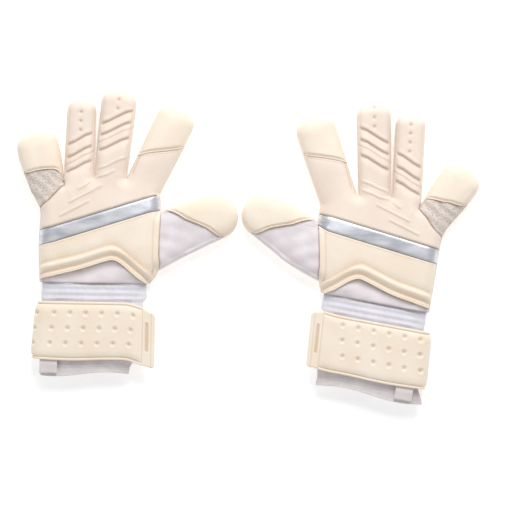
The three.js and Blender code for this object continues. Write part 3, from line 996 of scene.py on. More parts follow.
# ---------- the hand's pieces ----------
# Each piece of the back and its look.
BACK = {
    "knuckle_panel": "embossed",
    "silver_sash": "foil",
    "back_panel": "latex",
    "side_binding": "latex",
    "wrist_chevron": "latex",
    "wrist_fabric": "fabric",
    "index_sleeve": "embossed",
    "index_roll_cap": "latex",
    "middle_back": "embossed",
    "ring_back": "embossed",
    "little_mesh_sleeve": "mesh",
    "little_roll_cap": "latex",
    "thumb_roll_cap": "latex",
    "thumb_fabric_gusset": "fabric",
}
CAPS = {"index_roll_cap": "index_cap", "little_roll_cap": "little_cap", "thumb_roll_cap": "thumb_seam"}
# These reach down the side to the palm.
WRAPPED = ("index_sleeve", "little_mesh_sleeve", "thumb_fabric_gusset", *CAPS)
LINED = ("knuckle_panel", "middle_back", "ring_back")
# The cloths lie this far below the padding, with folds: each one's height, direction, spacing and phase.
CLOTHS = {
    "wrist_fabric": (2.9, (1.7, 28, 30, 0.4), (0.7, -35, 17, 2.2)),
    "thumb_fabric_gusset": (2.6, (1.2, 66, 26, 0.9), (0.4, -20, 14, 1.7)),
    "little_mesh_sleeve": (1.6, (0.5, 60, 12, 0.2)),
}
# these shares also scale the painted shade along the seams
SOFT_SEAMS = {"wrist_chevron": 0.4, "back_panel": 0.4, "side_binding": 0.35}   # share of a full seam's depth
SASH_HEIGHT = 0.5
CAP_HEIGHT = 1.1
# Across the chevron: height of each ridge or channel, its distance from the lower edge, and its width.
CHEVRON_RELIEF = ((0.9, 1.3, 1.1), (-1.8, 4.6, 1.7), (2.2, 9.6, 3.1))
CHANNEL_SHADE = (4.0, 1.5)     # where across the chevron it is darkest, and how widely
GROOVE_DEPTH = 2.1
GROOVE_WIDTH, GROOVE_FALL = 0.8, 3.6   # how steep its upper side is, and its lower
VENT_DEPTH = 1.5
INNER_SEAM = 6.0       # the index sleeve's seam, in from the middle finger's side
BORDER = 4.4           # the raised border along a flat finger's sides
LINE_SLOPE = math.radians(27)          # the raised lines over the knuckles
LINES, LINE_FIRST, LINE_PITCH, LINE_MIDDLE, LINE_STEP = 4, 78.6, 7.8, 13.0, 16.0
LINE_HEIGHT, LINE_WIDTH, LINE_HALF = 1.0, 0.9, 18.0

# Piping and stitches by the body that they belong to: the piped seam, then the sewn seams and how far to the
# left of each its stitches are.
TRIMS = {
    "index": ("index_cap", (("index_cap", 2.4), ("index_cap", -2.4))),
    "little": ("little_cap", (("little_cap", 2.4),)),
    "thumb": ("thumb_seam", (("thumb_seam", 2.4), ("thumb_seam", -2.2))),
    "hand": (
        "chevron_low",
        (("chevron_high", 2.2), ("sash_low", -1.9), ("sash_high", 1.9), ("chevron_low", -2.0)),
    ),
}


class Glove:
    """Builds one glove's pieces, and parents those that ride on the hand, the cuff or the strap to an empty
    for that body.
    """

    def __init__(self, side, looks):
        self.side = side
        self.looks = looks
        self.layout = layout = Layout(side)
        roots = layout.roots.values()
        self.back = Sheet(layout, BACK_PITCH, [*layout.seams.values(), *roots], layout.vents())
        self.palm = Sheet(layout, PALM_PITCH, [*roots, layout.seams["thumb_seam"]])
        self.back_owner = self.owners(self.back.centres)
        self.back_tree = tree_of(self.back.laid)
        self.vent_tree = tree_of(layout.vents())
        self.top = np.zeros(len(self.back.points))
        self.at_root = self.find_roots()

    # pieces and what is said of them
    def name(self, piece):
        return self.side + "_" + piece

    def piece(self, name, points, faces, look, painted_shade=None, slot=None, extra=False):
        """A new piece. Unless it is an extra, it stands for the CAD node that it is named after."""
        obj = add_mesh(self.name(name), points, faces, self.looks[look], painted_shade)
        if not extra:
            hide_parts(self.name(name.rpartition("_")[0]))
        return obj

    def ride(self, obj, body):
        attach(obj, self.name(body))

    def tie(self, obj, body):
        """The piece rides on the hand if that is its body. For another body, the start and end of its bend
        are worked out but not used, and its placing is only baked into its points.
        """
        layout = self.layout
        if body == "hand":
            self.ride(obj, "hand")
            return
        if body == "thumb":
            start, end = layout.row(layout.from_thumb(THUMB_BEND))
        elif body == "cuff":
            start, end = layout.row(layout.from_wrist(WRIST_BEND), ELASTIC_MIDDLE)
        else:
            start, end = layout.row(layout.from_finger(body, [(0, SOFT_START), (0, BEND_END)]))
        self.name("hand")
        self.name(body)
        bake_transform(obj)

    def body_of(self, piece):
        first = piece.split("_")[0]
        moves = first in (*self.layout.spec["fingers"], "thumb") and piece != "thumb_side_gusset"
        return first if moves else "hand"

    # which piece each triangle belongs to
    def owners(self, c):
        layout = self.layout
        seams = {name: side_of(line, c)[0] for name, line in layout.seams.items()}
        owner = np.full(len(c), "knuckle_panel", dtype=object)
        owner[seams["sash_high"] < 0] = "silver_sash"
        owner[seams["sash_low"] < 0] = "back_panel"
        owner[seams["chevron_high"] < 0] = "wrist_chevron"
        owner[seams["chevron_low"] < 0] = "wrist_fabric"
        bound = (seams["binding"] > 0) & (owner == "back_panel")
        thumb_side = c[:, 0] > 20
        owner[bound & thumb_side] = "side_binding"
        corner = layout.spec["little_edge"][2][1] - 6
        near_little = c[:, 0] < layout.from_finger("little", [(17, 0)])[0][0] + 2
        owner[(seams["mesh_edge"] > 0) & near_little & (c[:, 1] > corner)] = "little_mesh_sleeve"
        for finger in layout.spec["fingers"]:
            zone = layout.in_stall(finger, c)
            if finger in GROOVES:
                owner[zone] = finger + "_back"
                continue
            cap = seams[finger + "_cap"] > 0
            owner[zone & ~cap] = "index_sleeve" if finger == "index" else "little_mesh_sleeve"
            owner[zone & cap] = finger + "_roll_cap"
        beyond, above = layout.in_thumb(c), seams["thumb_seam"] > 0
        owner[beyond & above] = "thumb_roll_cap"
        owner[beyond & ~above] = "thumb_fabric_gusset"
        return owner

    def find_roots(self):
        """Which points lie on a root line that is only where the fold starts, with no sewn seam."""
        found = np.zeros(len(self.back.laid), bool)
        for finger in ("ring", "middle", "index"):
            found |= np.abs(side_of(self.layout.roots[finger + "_root"], self.back.laid)[0]) < ON_RIM
        return found

    # heights of the back
    def crown(self, points):
        """The back's full height: the hand's, lower on the stalls, the thumb and the wrist."""
        layout = self.layout
        share = np.maximum(layout.stall_share(points), layout.thumb_share(points))
        wrist = layout.to_wrist(points)[:, 1]
        return HAND_CROWN + (STALL_CROWN - HAND_CROWN) * share - 3.0 * smoothstep(40, -6, wrist)

    def relief(self, piece, flat, depth):
        """What stands out of or into a piece's plain surface, and how much painted shade it gets there."""
        seams, finger = self.layout.seams, piece.split("_")[0]
        raised, dark = np.zeros(len(flat)), np.zeros(len(flat))
        inner = smoothstep(0.3, 4.5, depth)
        made = []
        if finger in GROOVES:
            made.append(self.finger_relief(finger, flat))
        if piece in LINED:
            made.append(self.line_relief(piece, flat, inner))
        if piece == "wrist_chevron":
            made.append(self.chevron_relief(flat))
        if piece == "index_sleeve":
            made.append(self.sleeve_relief(flat, inner))
        for step, shade in made:
            raised += step
            dark = np.maximum(dark, shade)
        if piece == "silver_sash":
            raised += SASH_HEIGHT
        if piece == "back_panel":
            raised -= 0.9 * bump(side_of(seams["chevron_high"], flat)[0] - 1.5, 3.0)
        if piece in CAPS:
            raised += CAP_HEIGHT * smoothstep(0, 3, side_of(seams[CAPS[piece]], flat)[0]) * inner
        if piece in CLOTHS:
            sunk, *waves = CLOTHS[piece]
            for height, *wave in waves:
                sunk = sunk - height * folds(flat[:, 0], flat[:, 1], *wave)
            raised -= sunk * inner
        return raised, dark

    def finger_relief(self, finger, flat):
        """A flat finger's raised border, three slanting grooves, the thin seam across it, and its vents, with
        painted shade along the border's step, on each groove's steep upper wall, in the seam and in the
        vents.
        """
        local, half = self.layout.on_finger(finger, flat)
        rise = local[:, 1] - math.tan(RIB_SLOPE) * local[:, 0]
        past_root = smoothstep(2, 9, local[:, 1])
        sides = half - BORDER - np.abs(local[:, 0])
        raised = -(0.5 * smoothstep(-0.4, 1.2, sides) + 0.4 * bump(sides, 0.8)) * past_root
        dark = 0.3 * bump(sides, 0.7) * past_root
        middle = smoothstep(0, 1.6, half - RIB_INSET - np.abs(local[:, 0]))
        for centre in GROOVES[finger]:
            q = (rise - centre) * math.cos(RIB_SLOPE)
            cut = np.where(q > 0, bump(q, GROOVE_WIDTH), bump(q, GROOVE_FALL)) * middle
            raised -= GROOVE_DEPTH * cut - 0.5 * bump(q - 2.4, 1.5) * middle
            dark = np.maximum(dark, 0.8 * bump(q - 0.1, 0.8) * middle)
        q = (rise - GROOVES[finger][1] + CROSS_SEAM_DROP) * math.cos(RIB_SLOPE)
        raised -= 0.7 * bump(q, 0.7)
        dark = np.maximum(dark, 0.7 * bump(q, 0.6))
        vents = distance_to(self.vent_tree, flat)
        raised -= VENT_DEPTH * bump(vents, VENT_RADIUS)
        return raised, np.maximum(dark, bump(vents, 1.2))

    def line_relief(self, piece, flat, inner):
        """The raised lines over the knuckles, with a painted shadow along each line's wrist side."""
        x, y = flat[:, 0], flat[:, 1]
        q = y * math.cos(LINE_SLOPE) - x * math.sin(LINE_SLOPE)
        number = np.round((q - LINE_FIRST) / LINE_PITCH)
        gap = q - LINE_FIRST - number * LINE_PITCH
        along = x * math.cos(LINE_SLOPE) + y * math.sin(LINE_SLOPE) - LINE_MIDDLE - LINE_STEP * number
        run = smoothstep(0, 3, LINE_HALF + 2 * number - np.abs(along))
        run = run * (number >= 0) * (number < LINES) * inner
        finger = piece.split("_")[0]
        if finger in GROOVES:
            lowest = GROOVES[finger][2]
            run = run * smoothstep(lowest - 5, lowest - 12, self.layout.stall_at(flat))
        return LINE_HEIGHT * bump(gap, LINE_WIDTH) * run, 0.3 * bump(gap + 1.5, 0.8) * run

    def chevron_relief(self, flat):
        up = side_of(self.layout.seams["chevron_low"], flat)[0]
        raised = sum(height * bump(up - at, width) for height, at, width in CHEVRON_RELIEF)
        darkest, width = CHANNEL_SHADE
        return raised, 0.55 * bump(up - darkest, width)

    def sleeve_relief(self, flat, inner):
        """The index sleeve dips at its cap's seam, and has a seam along the middle finger's side, with
        painted shade along that seam.
        """
        away = -side_of(self.layout.seams["index_cap"], flat)[0]
        local, half = self.layout.on_finger("index", flat)
        gap = local[:, 0] + half - INNER_SEAM
        shown = smoothstep(2, 9, local[:, 1])
        raised = -0.8 * bump(away, 5) * inner
        raised -= (0.9 * bump(gap, 0.9) + 0.5 * smoothstep(0.5, -1.5, gap)) * shown
        return raised, 0.6 * bump(gap, 0.7) * shown

    def seam_distance(self, sheet, mine, points):
        """Each point's distance to the seams round these triangles, apart from roots with no seam."""
        edge = {v for pair in boundary_of(mine) for v in pair if sheet.depth[v] > ON_RIM}
        seam = [v for v in edge if sheet is self.palm or not self.at_root[v]]
        return distance_to(tree_of(sheet.laid[seam]), points) if seam else np.full(len(points), FAR)

    def heights(self, piece, mine, vertices):
        """A piece's top and bottom at its vertices, with its seams turned down, and how much painted shade it
        gets.
        """
        sheet = self.back
        flat, depth = sheet.laid[vertices], sheet.depth[vertices]
        swell = rounded(depth / sheet.turn_width(flat))
        plain = SIDE_TOP + (self.crown(flat) - SIDE_TOP) * swell
        raised, dark = self.relief(piece, flat, depth)
        away = self.seam_distance(sheet, mine, flat)
        softly = SOFT_SEAMS.get(piece, 1.0)
        top = plain + raised - SEAM_DEPTH * softly * bump(away, SEAM_WIDTH) * smoothstep(0, 1.5, depth)
        # painted shade along its seams
        dark = np.maximum(dark, softly * bump(away, 0.7) * smoothstep(0, 1.0, depth))
        thickness = CLOTH if piece in CLOTHS else FOAM
        if piece in WRAPPED:
            inner = plain + raised - thickness
            low = SIDE_BOTTOM + (inner - SIDE_BOTTOM) * np.clip(depth / WALL_INSIDE, 0, 1)
            low = np.minimum(low, top - 0.4)
        else:
            low = plain + np.minimum(raised, 0) - thickness * (0.3 + 0.7 * smoothstep(0, 4, depth)) - 0.3
        return top, low, dark

    def build_back(self):
        sheet = self.back
        for piece, look in BACK.items():
            triangles = sheet.triangles[self.back_owner == piece]
            used = np.unique(triangles)
            top, low, dark = np.zeros((3, len(sheet.points)))
            top[used], low[used], dark[used] = self.heights(piece, triangles, used)
            self.top = np.maximum(self.top, top)
            out = sheet.out * (sheet.depth < ON_RIM)[:, None]
            rows, swell = ((0.25, 0.5, 0.75), 0.7) if piece in WRAPPED else ((), 0)
            points, faces, source = slab(sheet.points, top, sheet.points, low, triangles, out, rows, swell)
            made = self.layout.placed(points)
            if piece in CLOTHS:
                obj = self.piece(piece + "_cloth", made, faces, look, dark[source])
                low, high = np.array(obj.bound_box).min(0), np.array(obj.bound_box).max(0)
            else:
                extra = piece == "side_binding"
                obj = self.piece(piece + "_pad", made, faces, look, dark[source], extra=extra)
            self.tie(obj, self.body_of(piece))

    # palm
    def build_palm(self):
        sheet, layout = self.palm, self.layout
        owner = np.full(len(sheet.centres), "palm_latex", dtype=object)
        for finger in layout.spec["fingers"]:
            owner[layout.in_stall(finger, sheet.centres)] = finger + "_palm"
        owner[layout.in_thumb(sheet.centres)] = "thumb_palm"
        low = SIDE_BOTTOM * (1 - rounded(sheet.depth / PALM_ROUND))
        thickness = FOAM * (0.25 + 0.75 * smoothstep(0, 4, sheet.depth))
        for piece in sorted(set(owner)):
            triangles = sheet.triangles[owner == piece]
            away = self.seam_distance(sheet, triangles, sheet.laid)
            # the seam's crease: it sinks the palm along its seams and sets the painted shade there
            crease_shade = bump(away, 1.6) * smoothstep(0, 2, sheet.depth)
            under = low + 0.8 * crease_shade
            over = under + thickness
            points, faces, source = slab(sheet.points, over, sheet.points, under, triangles, sheet.out)
            obj = self.piece(piece + "_pad", layout.placed(points), faces, "latex", crease_shade[source])
            self.tie(obj, self.body_of(piece))

    # side strips
    def build_sides(self):
        """The fabric strips between the back's edge and the palm's, with a welt along each edge."""
        sheet = self.back
        owner = {}
        for triangle, piece in zip(sheet.triangles.tolist(), self.back_owner):
            for edge in zip(triangle, triangle[1:] + triangle[:1]):
                owner[edge] = piece
        wrist_end = self.layout.to_wrist(sheet.laid)[:, 1] < EDGE_STEP
        runs = {}
        for a, b in boundary_of(sheet.triangles):
            piece = owner[(a, b)]
            if piece in WRAPPED or (wrist_end[a] and wrist_end[b]):
                continue
            between_fingers = self.layout.stall_at(sheet.laid[[a]])[0] > SOFT_START
            if piece == "knuckle_panel" and between_fingers:
                continue
            runs.setdefault(self.strip_of(piece, sheet.laid[a]), []).append((a, b))
        z = np.linspace(SIDE_BOTTOM - 0.3, SIDE_TOP + 0.5, 11)
        stands = 0.35 * np.sin(math.pi * (z - z[0]) / (z[-1] - z[0]))
        stands += 0.45 * bump(z - z[1] - 0.3, 0.7) + 0.7 * bump(z - z[-2] + 0.1, 0.8)
        section = np.vstack([np.column_stack([stands, z]), np.column_stack([stands - CLOTH, z])[::-1]])
        for strip, edges in sorted(runs.items()):
            bundle = Bundle()
            for path in chained(edges):
                flat = sheet.points[path]
                along = tangents(flat)
                side = np.column_stack([along[:, 1], -along[:, 0], 0 * along[:, 0]])
                centre = np.column_stack([flat, np.zeros(len(flat))])
                up = np.broadcast_to((0, 0, 1.0), centre.shape)
                points, faces = swept(centre, side, up, section)
                bundle.add(self.layout.placed(points), faces)
            obj = self.piece(strip + "_cloth", *bundle.whole(), "gusset")
            self.tie(obj, self.body_of(strip))

    def strip_of(self, piece, point):
        if piece in ("middle_back", "ring_back"):
            return piece.replace("back", "gusset")
        return "thumb_side_gusset" if point[0] > 0 else "outer_side_gusset"

    # piping and stitches
    def on_back(self, flat):
        """Points of the layout on the finished surface of the back, as x, y, z in millimetres."""
        made = []
        for x, y in flat:
            near = self.back_tree.find_n((x, y, 0), 3)
            weights = np.array([1 / (n[2] + 0.05) ** 2 for n in near])
            at = [n[1] for n in near]
            xyz = np.column_stack([self.back.points[at], self.top[at]])
            made.append((weights[:, None] * xyz).sum(0) / weights.sum())
        return np.array(made)

    def line_on_back(self, line, across=0.0, step=1.3):
        """A seam's line, moved that far to its left, on the finished surface and clear of the rim."""
        flat = resampled(line, step)
        direction = tangents(flat)
        flat = flat + across * np.column_stack([-direction[:, 1], direction[:, 0]])
        nearest = [self.back_tree.find((x, y, 0))[1] for x, y in flat]
        deep = self.back.depth[nearest] > RIM_CLEAR
        return self.on_back(flat[deep & self.layout.in_union(flat)])

    def build_trims(self):
        """Piping cords along the seams, and rows of stitches beside them."""
        seams = self.layout.seams
        for body, (piped, sewn) in TRIMS.items():
            piping, stitching = Bundle(), Bundle()
            add_cord(piping, self.layout, self.line_on_back(seams[piped]) + (0, 0, 0.25), PIPING)
            for seam, across in sewn:
                add_stitches(stitching, self.layout, self.line_on_back(seams[seam], across, STITCH_PITCH))
            for kind, bundle, look in (("piping", piping, "latex"), ("stitch", stitching, "thread")):
                obj = self.piece(body + "_" + kind + "_trim", *bundle.whole(), look, extra=True)
                self.tie(obj, body)

    # cuff
    def cuff_points(self, s, t, z):
        """Wrist-frame grids as points in the row frame, in metres, keeping the grid's shape."""
        s, t, z = np.broadcast_arrays(*(np.asarray(v, float) for v in (s, t, z)))
        flat = self.layout.from_wrist(np.column_stack([s.ravel(), t.ravel()]))
        return self.layout.row(flat, z.ravel()).reshape(*s.shape, 3)

    def cuff_piece(self, name, look, outer, inner, painted_shade=None, **said):
        """A piece between two grids of points given as s, t and z. The painted shade, if given, is its outer
        side's.
        """
        points, faces = layered(self.cuff_points(*outer), self.cuff_points(*inner))
        if painted_shade is not None:
            painted_shade = np.concatenate([painted_shade.ravel(), 0 * painted_shade.ravel()])
        return self.piece(name, points, faces, look, painted_shade, **said)

    def tube(self, name, look, t, shape, thickness, relief):
        """A flattened tube along t with a wall, open at both ends.

        shape is its middle, half width, level and half height over t. relief(turn, t) stands out from it."""
        middle, half, level, height = (np.broadcast_to(v, t.shape) for v in shape)
        turn = np.linspace(0, 2 * math.pi, TUBE_SIDES, endpoint=False)
        c, s = (np.sign(v) * np.abs(v) ** (2 / TUBE_POWER) for v in (np.cos(turn), np.sin(turn)))
        rings = []
        for depth, order in ((0.0, slice(None)), (thickness, slice(None, None, -1))):
            along = t[order][:, None]
            wide, tall = (half - depth)[order][:, None], (height - depth)[order][:, None]
            raised = relief(turn[None, :], along)
            if depth:
                raised = np.minimum(raised, 0)
            across = middle[order][:, None] + (wide + raised) * c
            up = level[order][:, None] + (tall + raised) * s
            rings.append(self.cuff_points(across, along, up))
        obj = self.piece(name + "_cloth", *ringed(np.vstack(rings)), look)
        return obj

    def build_elastic(self):
        t = np.concatenate([np.arange(ELASTIC_FROM, ELASTIC_TO, 0.55), [ELASTIC_TO]])
        tucked = smoothstep(-0.5, 3.5, t)
        under_strap = smoothstep(-13, -18.5, t)

        def relief(turn, along):
            ribs = 0.38 * np.cos(2 * math.pi * (along + 3.2) / RIB_PITCH)
            gathers = 0.22 * np.sin(turn * 47 + 1.2 * np.sin(along * 0.5)) * (0.6 + 0.4 * np.sin(turn * 5))
            return (ribs + gathers) * (1 - smoothstep(0, 3, along)) * (1 - 0.75 * np.abs(np.cos(turn)) ** 8)

        half = ELASTIC_HALF - 0.6 + 0.4 * np.sin(t * 0.35) - 3.0 * tucked - 1.8 * under_strap
        height = ELASTIC_HALF_HEIGHT - 0.8 - 1.6 * tucked - 0.9 * under_strap
        shape = (-1.5 * under_strap, half, ELASTIC_MIDDLE + 0.9 * under_strap, height)
        self.tie(self.tube("wrist_elastic", "elastic", t, shape, 1.0, relief), "cuff")

    def sleeve_shape(self, t):
        """The sleeve's middle, half width and half height at t."""
        spec = self.layout.spec
        out = smoothstep(SLEEVE_SHOWN, SLEEVE_FROM, t)
        strapped = smoothstep(-40, -60, t)
        left, right = [
            inner + (middle - inner) * strapped + (mouth - middle) * out
            for inner, middle, mouth in zip(SLEEVE_EDGES, spec["sleeve"], spec["mouth"])
        ]
        left = left + 2.2 * smoothstep(-50, SLEEVE_TO, t)
        right = right + 5.5 * smoothstep(-40, SLEEVE_TO, t)
        height = SLEEVE_HALF_HEIGHT - 2.2 * smoothstep(-34, -24, t) - 0.6 * out
        return (left + right) / 2, (right - left) / 2, height

    def build_sleeve(self):
        fine, coarse = np.arange(SLEEVE_FROM, SLEEVE_SHOWN, 0.5), np.arange(SLEEVE_SHOWN, SLEEVE_TO, 2.0)
        t = np.concatenate([fine, coarse, [SLEEVE_TO]])
        middle, half, height = self.sleeve_shape(t)

        def relief(turn, along):
            s = np.cos(turn) * SLEEVE_EDGES[1]
            shown = smoothstep(SLEEVE_SHOWN, -80, along)
            wave = 0.8 * folds(s, along, 12, 19, 0.8) + 0.45 * folds(s, along, -38, 11, 1.9)
            edge = along - SLEEVE_FROM
            hem = 0.45 * smoothstep(HEM + 0.4, HEM - 0.4, edge)
            hem = hem - 0.45 * bump(edge - HEM, 0.6) + 0.35 * bump(edge - 0.8, 0.8)
            flat_side = 1 - 0.8 * np.abs(np.cos(turn)) ** 8
            return (wave * smoothstep(0, 4, edge) * flat_side + hem - 0.6) * shown

        obj = self.tube("cuff_sleeve", "cuff", t, (middle, half, SLEEVE_MIDDLE, height), 1.1, relief)
        points = np.array([v.co for v in obj.data.vertices])
        local = self.layout.to_wrist(self.layout.unplaced(points))
        mouth = smoothstep(-80, SLEEVE_FROM, local[:, 1])
        shift = 2.4 * mouth * np.sin((local[:, 0] + 12) / 17)
        moved = self.cuff_points(local[:, 0], local[:, 1] + shift, points[:, 2] / MM)
        obj.data.vertices.foreach_set("co", moved.astype(np.float32).ravel())
        obj.data.update()
        self.ride(obj, "cuff")

    def sleeve_top(self, s, t):
        middle, half, height = self.sleeve_shape(t)
        share = np.clip(np.abs(s - middle) / half, 0, 0.995)
        return SLEEVE_MIDDLE + height * (1 - share**TUBE_POWER) ** (1 / TUBE_POWER)

    def build_patches(self):
        """The loop patch on the sleeve, and the hook patch under the strap's end."""
        t = np.arange(PATCH_FROM, PATCH_TO + 0.1, PATCH_STEP)[None, :]
        for hooks, left, right in ((False, LOOP_LEFT, LOOP_RIGHT), (True, HOOK_LEFT, HOOK_RIGHT)):
            s = np.arange(left, right + 0.1, PATCH_STEP)[:, None]
            edge = np.minimum(np.minimum(s - left, right - s), np.minimum(t - PATCH_FROM, PATCH_TO - t))
            pile = 0.16 * np.sin(s * 4.1 + 1.7 * np.sin(t * 2.3)) * np.sin(t * 3.7 + 1.3 * np.sin(s * 1.9))
            hem = smoothstep(0, 1.2, edge)
            if hooks:
                high = STRAP_HIGH - STRAP_UNDER - 0.15 + 0 * edge
                low = high - 0.3 - (0.3 + pile) * hem
                obj = self.cuff_piece(
                    "hook_patch_cloth", "mesh", (s, t, high), (s, t, low), slot="woven_tape", extra=True
                )
            else:
                low = self.sleeve_top(s, t) + 0.15
                high = low + 0.35 + (0.45 + pile) * hem
                obj = self.cuff_piece("loop_patch_cloth", "tape", (s, t, high), (s, t, low))
            self.ride(obj, "strap" if hooks else "cuff")
            below = "wrist_strap" if hooks else "cuff_sleeve"
            self.name(below)

    def strap_path(self, sewn, t):
        """The middle line of the strap's sewn or free half, at each t: s, z and the outward direction."""
        turn = self.layout.spec["strap_turn"] + STRAP_SLANT * (t - (STRAP_FROM + STRAP_TO) / 2) / 29
        radius = (STRAP_HIGH - STRAP_LOW) / 2
        level = (STRAP_HIGH + STRAP_LOW) / 2
        split = 180 - STRAP_SPLIT
        a = np.radians(np.linspace(270, split, 42) if sewn else np.linspace(split, 90, 20))[:, None]
        c, s = np.cos(a), np.sin(a)
        arc = [v + 0 * t for v in (turn + radius * c, level + radius * s, c, s)]
        if sewn:
            s = STRAP_START + (turn - STRAP_START) * np.linspace(0, 1, 60)[:-1, None]
            return [np.vstack(pair) for pair in zip((s, STRAP_LOW + 0 * s, 0 * s, -1.0 + 0 * s), arc)]
        s = turn + (STRAP_RIGHT - turn) * np.linspace(0, 1, 112)[1:, None]
        return [np.vstack(pair) for pair in zip(arc, (s, STRAP_HIGH + 0 * s, 0 * s, 1.0 + 0 * s))]

    def strap_cut(self, s, t):
        """The strap's s and t as cut: its thumb end curves towards the cuff's mouth and may slant."""
        spec = self.layout.spec
        lean = spec["strap_lean"] * (STRAP_TO - t) / (STRAP_TO - STRAP_FROM) * smoothstep(20, 60, s)
        wave = 0.7 * np.sin(s / 15) * smoothstep(-50, STRAP_FROM, t)
        return s - lean, t - spec["strap_drop"] * smoothstep(30, 62, s) + wave

    def strap_pad(self, edge):
        """The pad's height over its middle line: a round bead, a groove, then the crowned pad."""
        bead = STRAP_BEAD * np.sqrt(np.clip(1 - ((edge - 1.3) / 1.3) ** 2, 0, 1))
        pad = 0.1 + (STRAP_PAD - 0.1) * rounded((edge - 2.8) / 7.5)
        return np.where(edge < 2.6, bead, pad)

    def build_strap(self):
        """The strap's sewn half, which stays on the cuff, and its free half, whose placing is only baked into
        its points.
        """
        near_edge = np.array([0, 0.1, 0.4, 0.8, 1.3, 1.8, 2.2, 2.5, 2.62, 2.9, 3.3, 3.9, 4.7, 5.7, 6.8])
        middle = np.arange(STRAP_FROM + 7.8, STRAP_TO - 7.3, 1.0)
        t = np.concatenate([STRAP_FROM + near_edge, middle, (STRAP_TO - near_edge)[::-1]])[None, :]
        edge = np.minimum(t - STRAP_FROM, STRAP_TO - t)
        count, *rows = self.layout.spec["dimple_rows"]
        for name, sewn in (("strap_anchor", True), ("wrist_strap", False)):
            s, z, out_s, out_z = self.strap_path(sewn, t)
            high = self.strap_pad(edge) + 0 * s
            low = STRAP_UNDER * rounded(edge / 2.4) + 0 * s
            # painted shade in the groove between the bead and the pad
            painted_shade = 0.5 * bump(edge - 2.65, 0.35) + 0 * s
            shown = smoothstep(0.15, 0.4, out_z)
            for row, first in rows:
                for k in range(count):
                    gap = np.hypot(s - first - k * DIMPLE_PITCH, t - row)
                    high = high - (DIMPLE_DEPTH * bump(gap, 2.0) - 0.25 * bump(gap - 3.6, 1.0)) * shown
                    # and painted shade in each dimple
                    painted_shade = np.maximum(painted_shade, 0.85 * bump(gap, 1.25) * shown)
            if not sewn:
                end = STRAP_RIGHT - s
                high = np.where(end < 9, 0.5 + (high - 0.5) * rounded(end / 9), high)
            high = high + 0.25 * folds(s, t, 70, 34, 0.7) * smoothstep(3, 9, edge)
            if sewn:
                high = np.minimum(high, STRAP_LOW - 0.1 + 4 * (out_z + 1))
            across, along = self.strap_cut(s, t)
            outer = (across + out_s * high, along, z + out_z * high)
            inner = (across - out_s * low, along, z - out_z * low)
            obj = self.cuff_piece(name + "_pad", "latex", outer, inner, painted_shade)
            if sewn:
                self.ride(obj, "cuff")
            else:
                start, end = self.layout.row(self.layout.from_wrist(STRAP_BEND), STRAP_BEND_HEIGHT)
                self.name("cuff")
                self.name("strap")
                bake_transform(obj)

    def build_tab(self):
        """The strap's thin end, with a welt, a plain recess and rounded corners."""
        s = np.concatenate([np.arange(STRAP_RIGHT + 0.15, TAB_RIGHT, 0.5), [TAB_RIGHT]])[:, None]
        share = (s - STRAP_RIGHT) / (TAB_RIGHT - STRAP_RIGHT)
        inset = TAB_CORNER * (1 - rounded((TAB_RIGHT - s) / TAB_CORNER))
        low_t, high_t = STRAP_FROM + 0.6 + inset, STRAP_TO - 1.0 - 3.5 * share - inset
        t = low_t + (high_t - low_t) * np.linspace(0, 1, 110)[None, :]
        edge = np.minimum(np.minimum(t - low_t, high_t - t), TAB_RIGHT - s)
        high = TAB_HALF * rounded(edge / 1.2) - 0.45 * bump(s - TAB_WELT, 0.6)
        low = TAB_HALF * rounded(edge / 1.0)
        middle_s, middle_t, half, radius = MARK
        gap = np.hypot(s - middle_s, np.maximum(np.abs(t - middle_t) - half, 0))
        high = high - 0.75 * smoothstep(radius + 0.5, radius - 0.4, gap)
        # painted shade in the welt's groove and over the recess
        painted_shade = np.maximum(0.4 * bump(s - TAB_WELT, 0.5), 0.7 * smoothstep(radius + 0.4, radius - 0.3, gap))
        across, along = self.strap_cut(s, t)
        level = STRAP_HIGH - 0.9
        outer, inner = (across, along, level + high), (across, along, level - low)
        obj = self.cuff_piece("strap_tab_pad", "latex", outer, inner, painted_shade)
        self.ride(obj, "strap")

    def build_loop(self):
        """The pull loop: a woven tape folded over at the cuff's mouth, its ends sewn under the strap."""
        lower, upper = TAPE_LOW, TAPE_HIGH
        radius = (upper - lower) / 2
        a = np.linspace(-math.pi / 2, -3 * math.pi / 2, 13)
        level = (lower + upper) / 2
        bend = np.column_stack([TAPE_FROM + radius + radius * np.cos(a), level + radius * np.sin(a)])
        out = np.linspace(TAPE_TO, TAPE_FROM + radius, 16)
        below = np.column_stack([out, lower - 0.5 * bump(out + 78, 5)])
        above = np.column_stack([out[::-1], upper - 1.7 * smoothstep(-82, TAPE_TO, out[::-1])])
        path = np.vstack([below, bend[1:-1], above])
        along = tangents(path)
        normal = np.column_stack([along[:, 1], -along[:, 0]])
        s = np.linspace(TAPE_LEFT, TAPE_RIGHT, 26)[None, :]
        edge = np.minimum(s - TAPE_LEFT, TAPE_RIGHT - s)
        thick = 0.45 * rounded(edge / 0.5) + 0.12 * bump(edge - 1.6, 0.4) + 0 * path[:, :1]
        sag = 0.4 * np.sin((s - TAPE_LEFT) / (TAPE_RIGHT - TAPE_LEFT) * math.pi)
        sag = sag * (path[:, :1] < TAPE_FROM + 4)
        sides = []
        for sign in (1, -1):
            t = path[:, :1] + sign * normal[:, :1] * thick + sag
            sides.append((s, t, path[:, 1:] + sign * normal[:, 1:] * thick))
        obj = self.cuff_piece("pull_loop_cloth", "tape", *sides)
        self.ride(obj, "cuff")

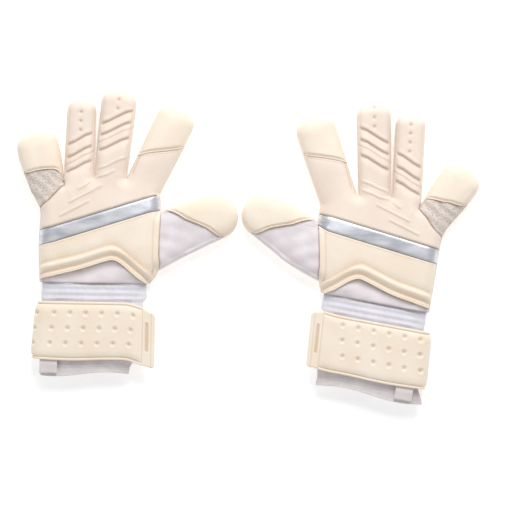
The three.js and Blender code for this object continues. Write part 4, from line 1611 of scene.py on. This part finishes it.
    def build_elastic_stitches(self):
        """A row of stitches over the elastic at each of its edges."""
        sewn = Bundle()
        s = np.arange(-40, 40, STITCH_PITCH)
        for t in ELASTIC_STITCHES:
            top = ELASTIC_MIDDLE + ELASTIC_HALF_HEIGHT - 0.9 + 0 * s
            flat = self.layout.from_wrist(np.column_stack([s, t + 0 * s]))
            add_stitches(sewn, self.layout, np.column_stack([flat, top]))
        obj = self.piece("elastic_stitch_trim", *sewn.whole(), "thread", slot="white_elastic", extra=True)
        self.tie(obj, "cuff")

    def build(self):
        self.build_back()
        self.build_palm()
        self.build_sides()
        self.build_trims()
        self.build_elastic()
        self.build_sleeve()
        self.build_patches()
        self.build_strap()
        self.build_tab()
        self.build_loop()
        self.build_elastic_stitches()


# ---------- the studio ----------
def make_floor():
    """A plain pale floor that reads white. It can be seen through from below."""
    bpy.ops.mesh.primitive_grid_add(x_subdivisions=2, y_subdivisions=2, size=6, location=(0, 0, FLOOR_Z))
    floor = bpy.context.object
    floor.name = "floor"
    look = Look("floor_look", 0.9, specular=0.1)
    look.colour(look.noise(60, 2), (249, 249, 249), (252, 252, 252))
    look.shader.inputs["Emission Color"].default_value = (1, 1, 1, 1)
    look.shader.inputs["Emission Strength"].default_value = FLOOR_GLOW
    clear = look.node("ShaderNodeBsdfTransparent")
    mix = look.node("ShaderNodeMixShader")
    below = look.node("ShaderNodeNewGeometry").outputs["Backfacing"]
    look.join(below, mix.inputs["Fac"])
    look.join(look.shader.outputs[0], mix.inputs[1])
    look.join(clear.outputs[0], mix.inputs[2])
    look.join(mix.outputs[0], look.tree.nodes["Material Output"].inputs["Surface"])
    floor.data.materials.append(look.material)


def make_light(name, place, size, power):
    """A square soft light that faces the middle of the pair."""
    data = bpy.data.lights.new(name, "AREA")
    data.size = size
    data.energy = power
    lamp = bpy.data.objects.new(name, data)
    lamp.location = place
    lamp.rotation_euler = (-Vector(place)).to_track_quat("-Z", "Y").to_euler()
    bpy.context.scene.collection.objects.link(lamp)


def make_studio():
    """Straight-down camera, a big soft light on the fingers' side and a weak one on the cuffs' side."""
    scene = bpy.context.scene
    camera = bpy.data.cameras.new("camera")
    camera.lens = CAMERA_HEIGHT * camera.sensor_width / VIEW_WIDTH
    holder = bpy.data.objects.new("camera", camera)
    holder.location = (*VIEW_CENTRE, CAMERA_HEIGHT + VIEW_LEVEL)
    scene.collection.objects.link(holder)
    scene.camera = holder
    for light in LIGHTS:
        make_light(*light)
    world = bpy.data.worlds.new("studio")
    world.use_nodes = True
    background = world.node_tree.nodes["Background"]
    background.inputs["Color"].default_value = (1, 1, 1, 1)
    background.inputs["Strength"].default_value = WORLD_GLOW
    scene.world = world
    scene.view_settings.view_transform = "Standard"


# ---------- the pair ----------
make_floor()
make_studio()
looks = make_looks()
for side in ("left", "right"):
    Glove(side, looks).build()
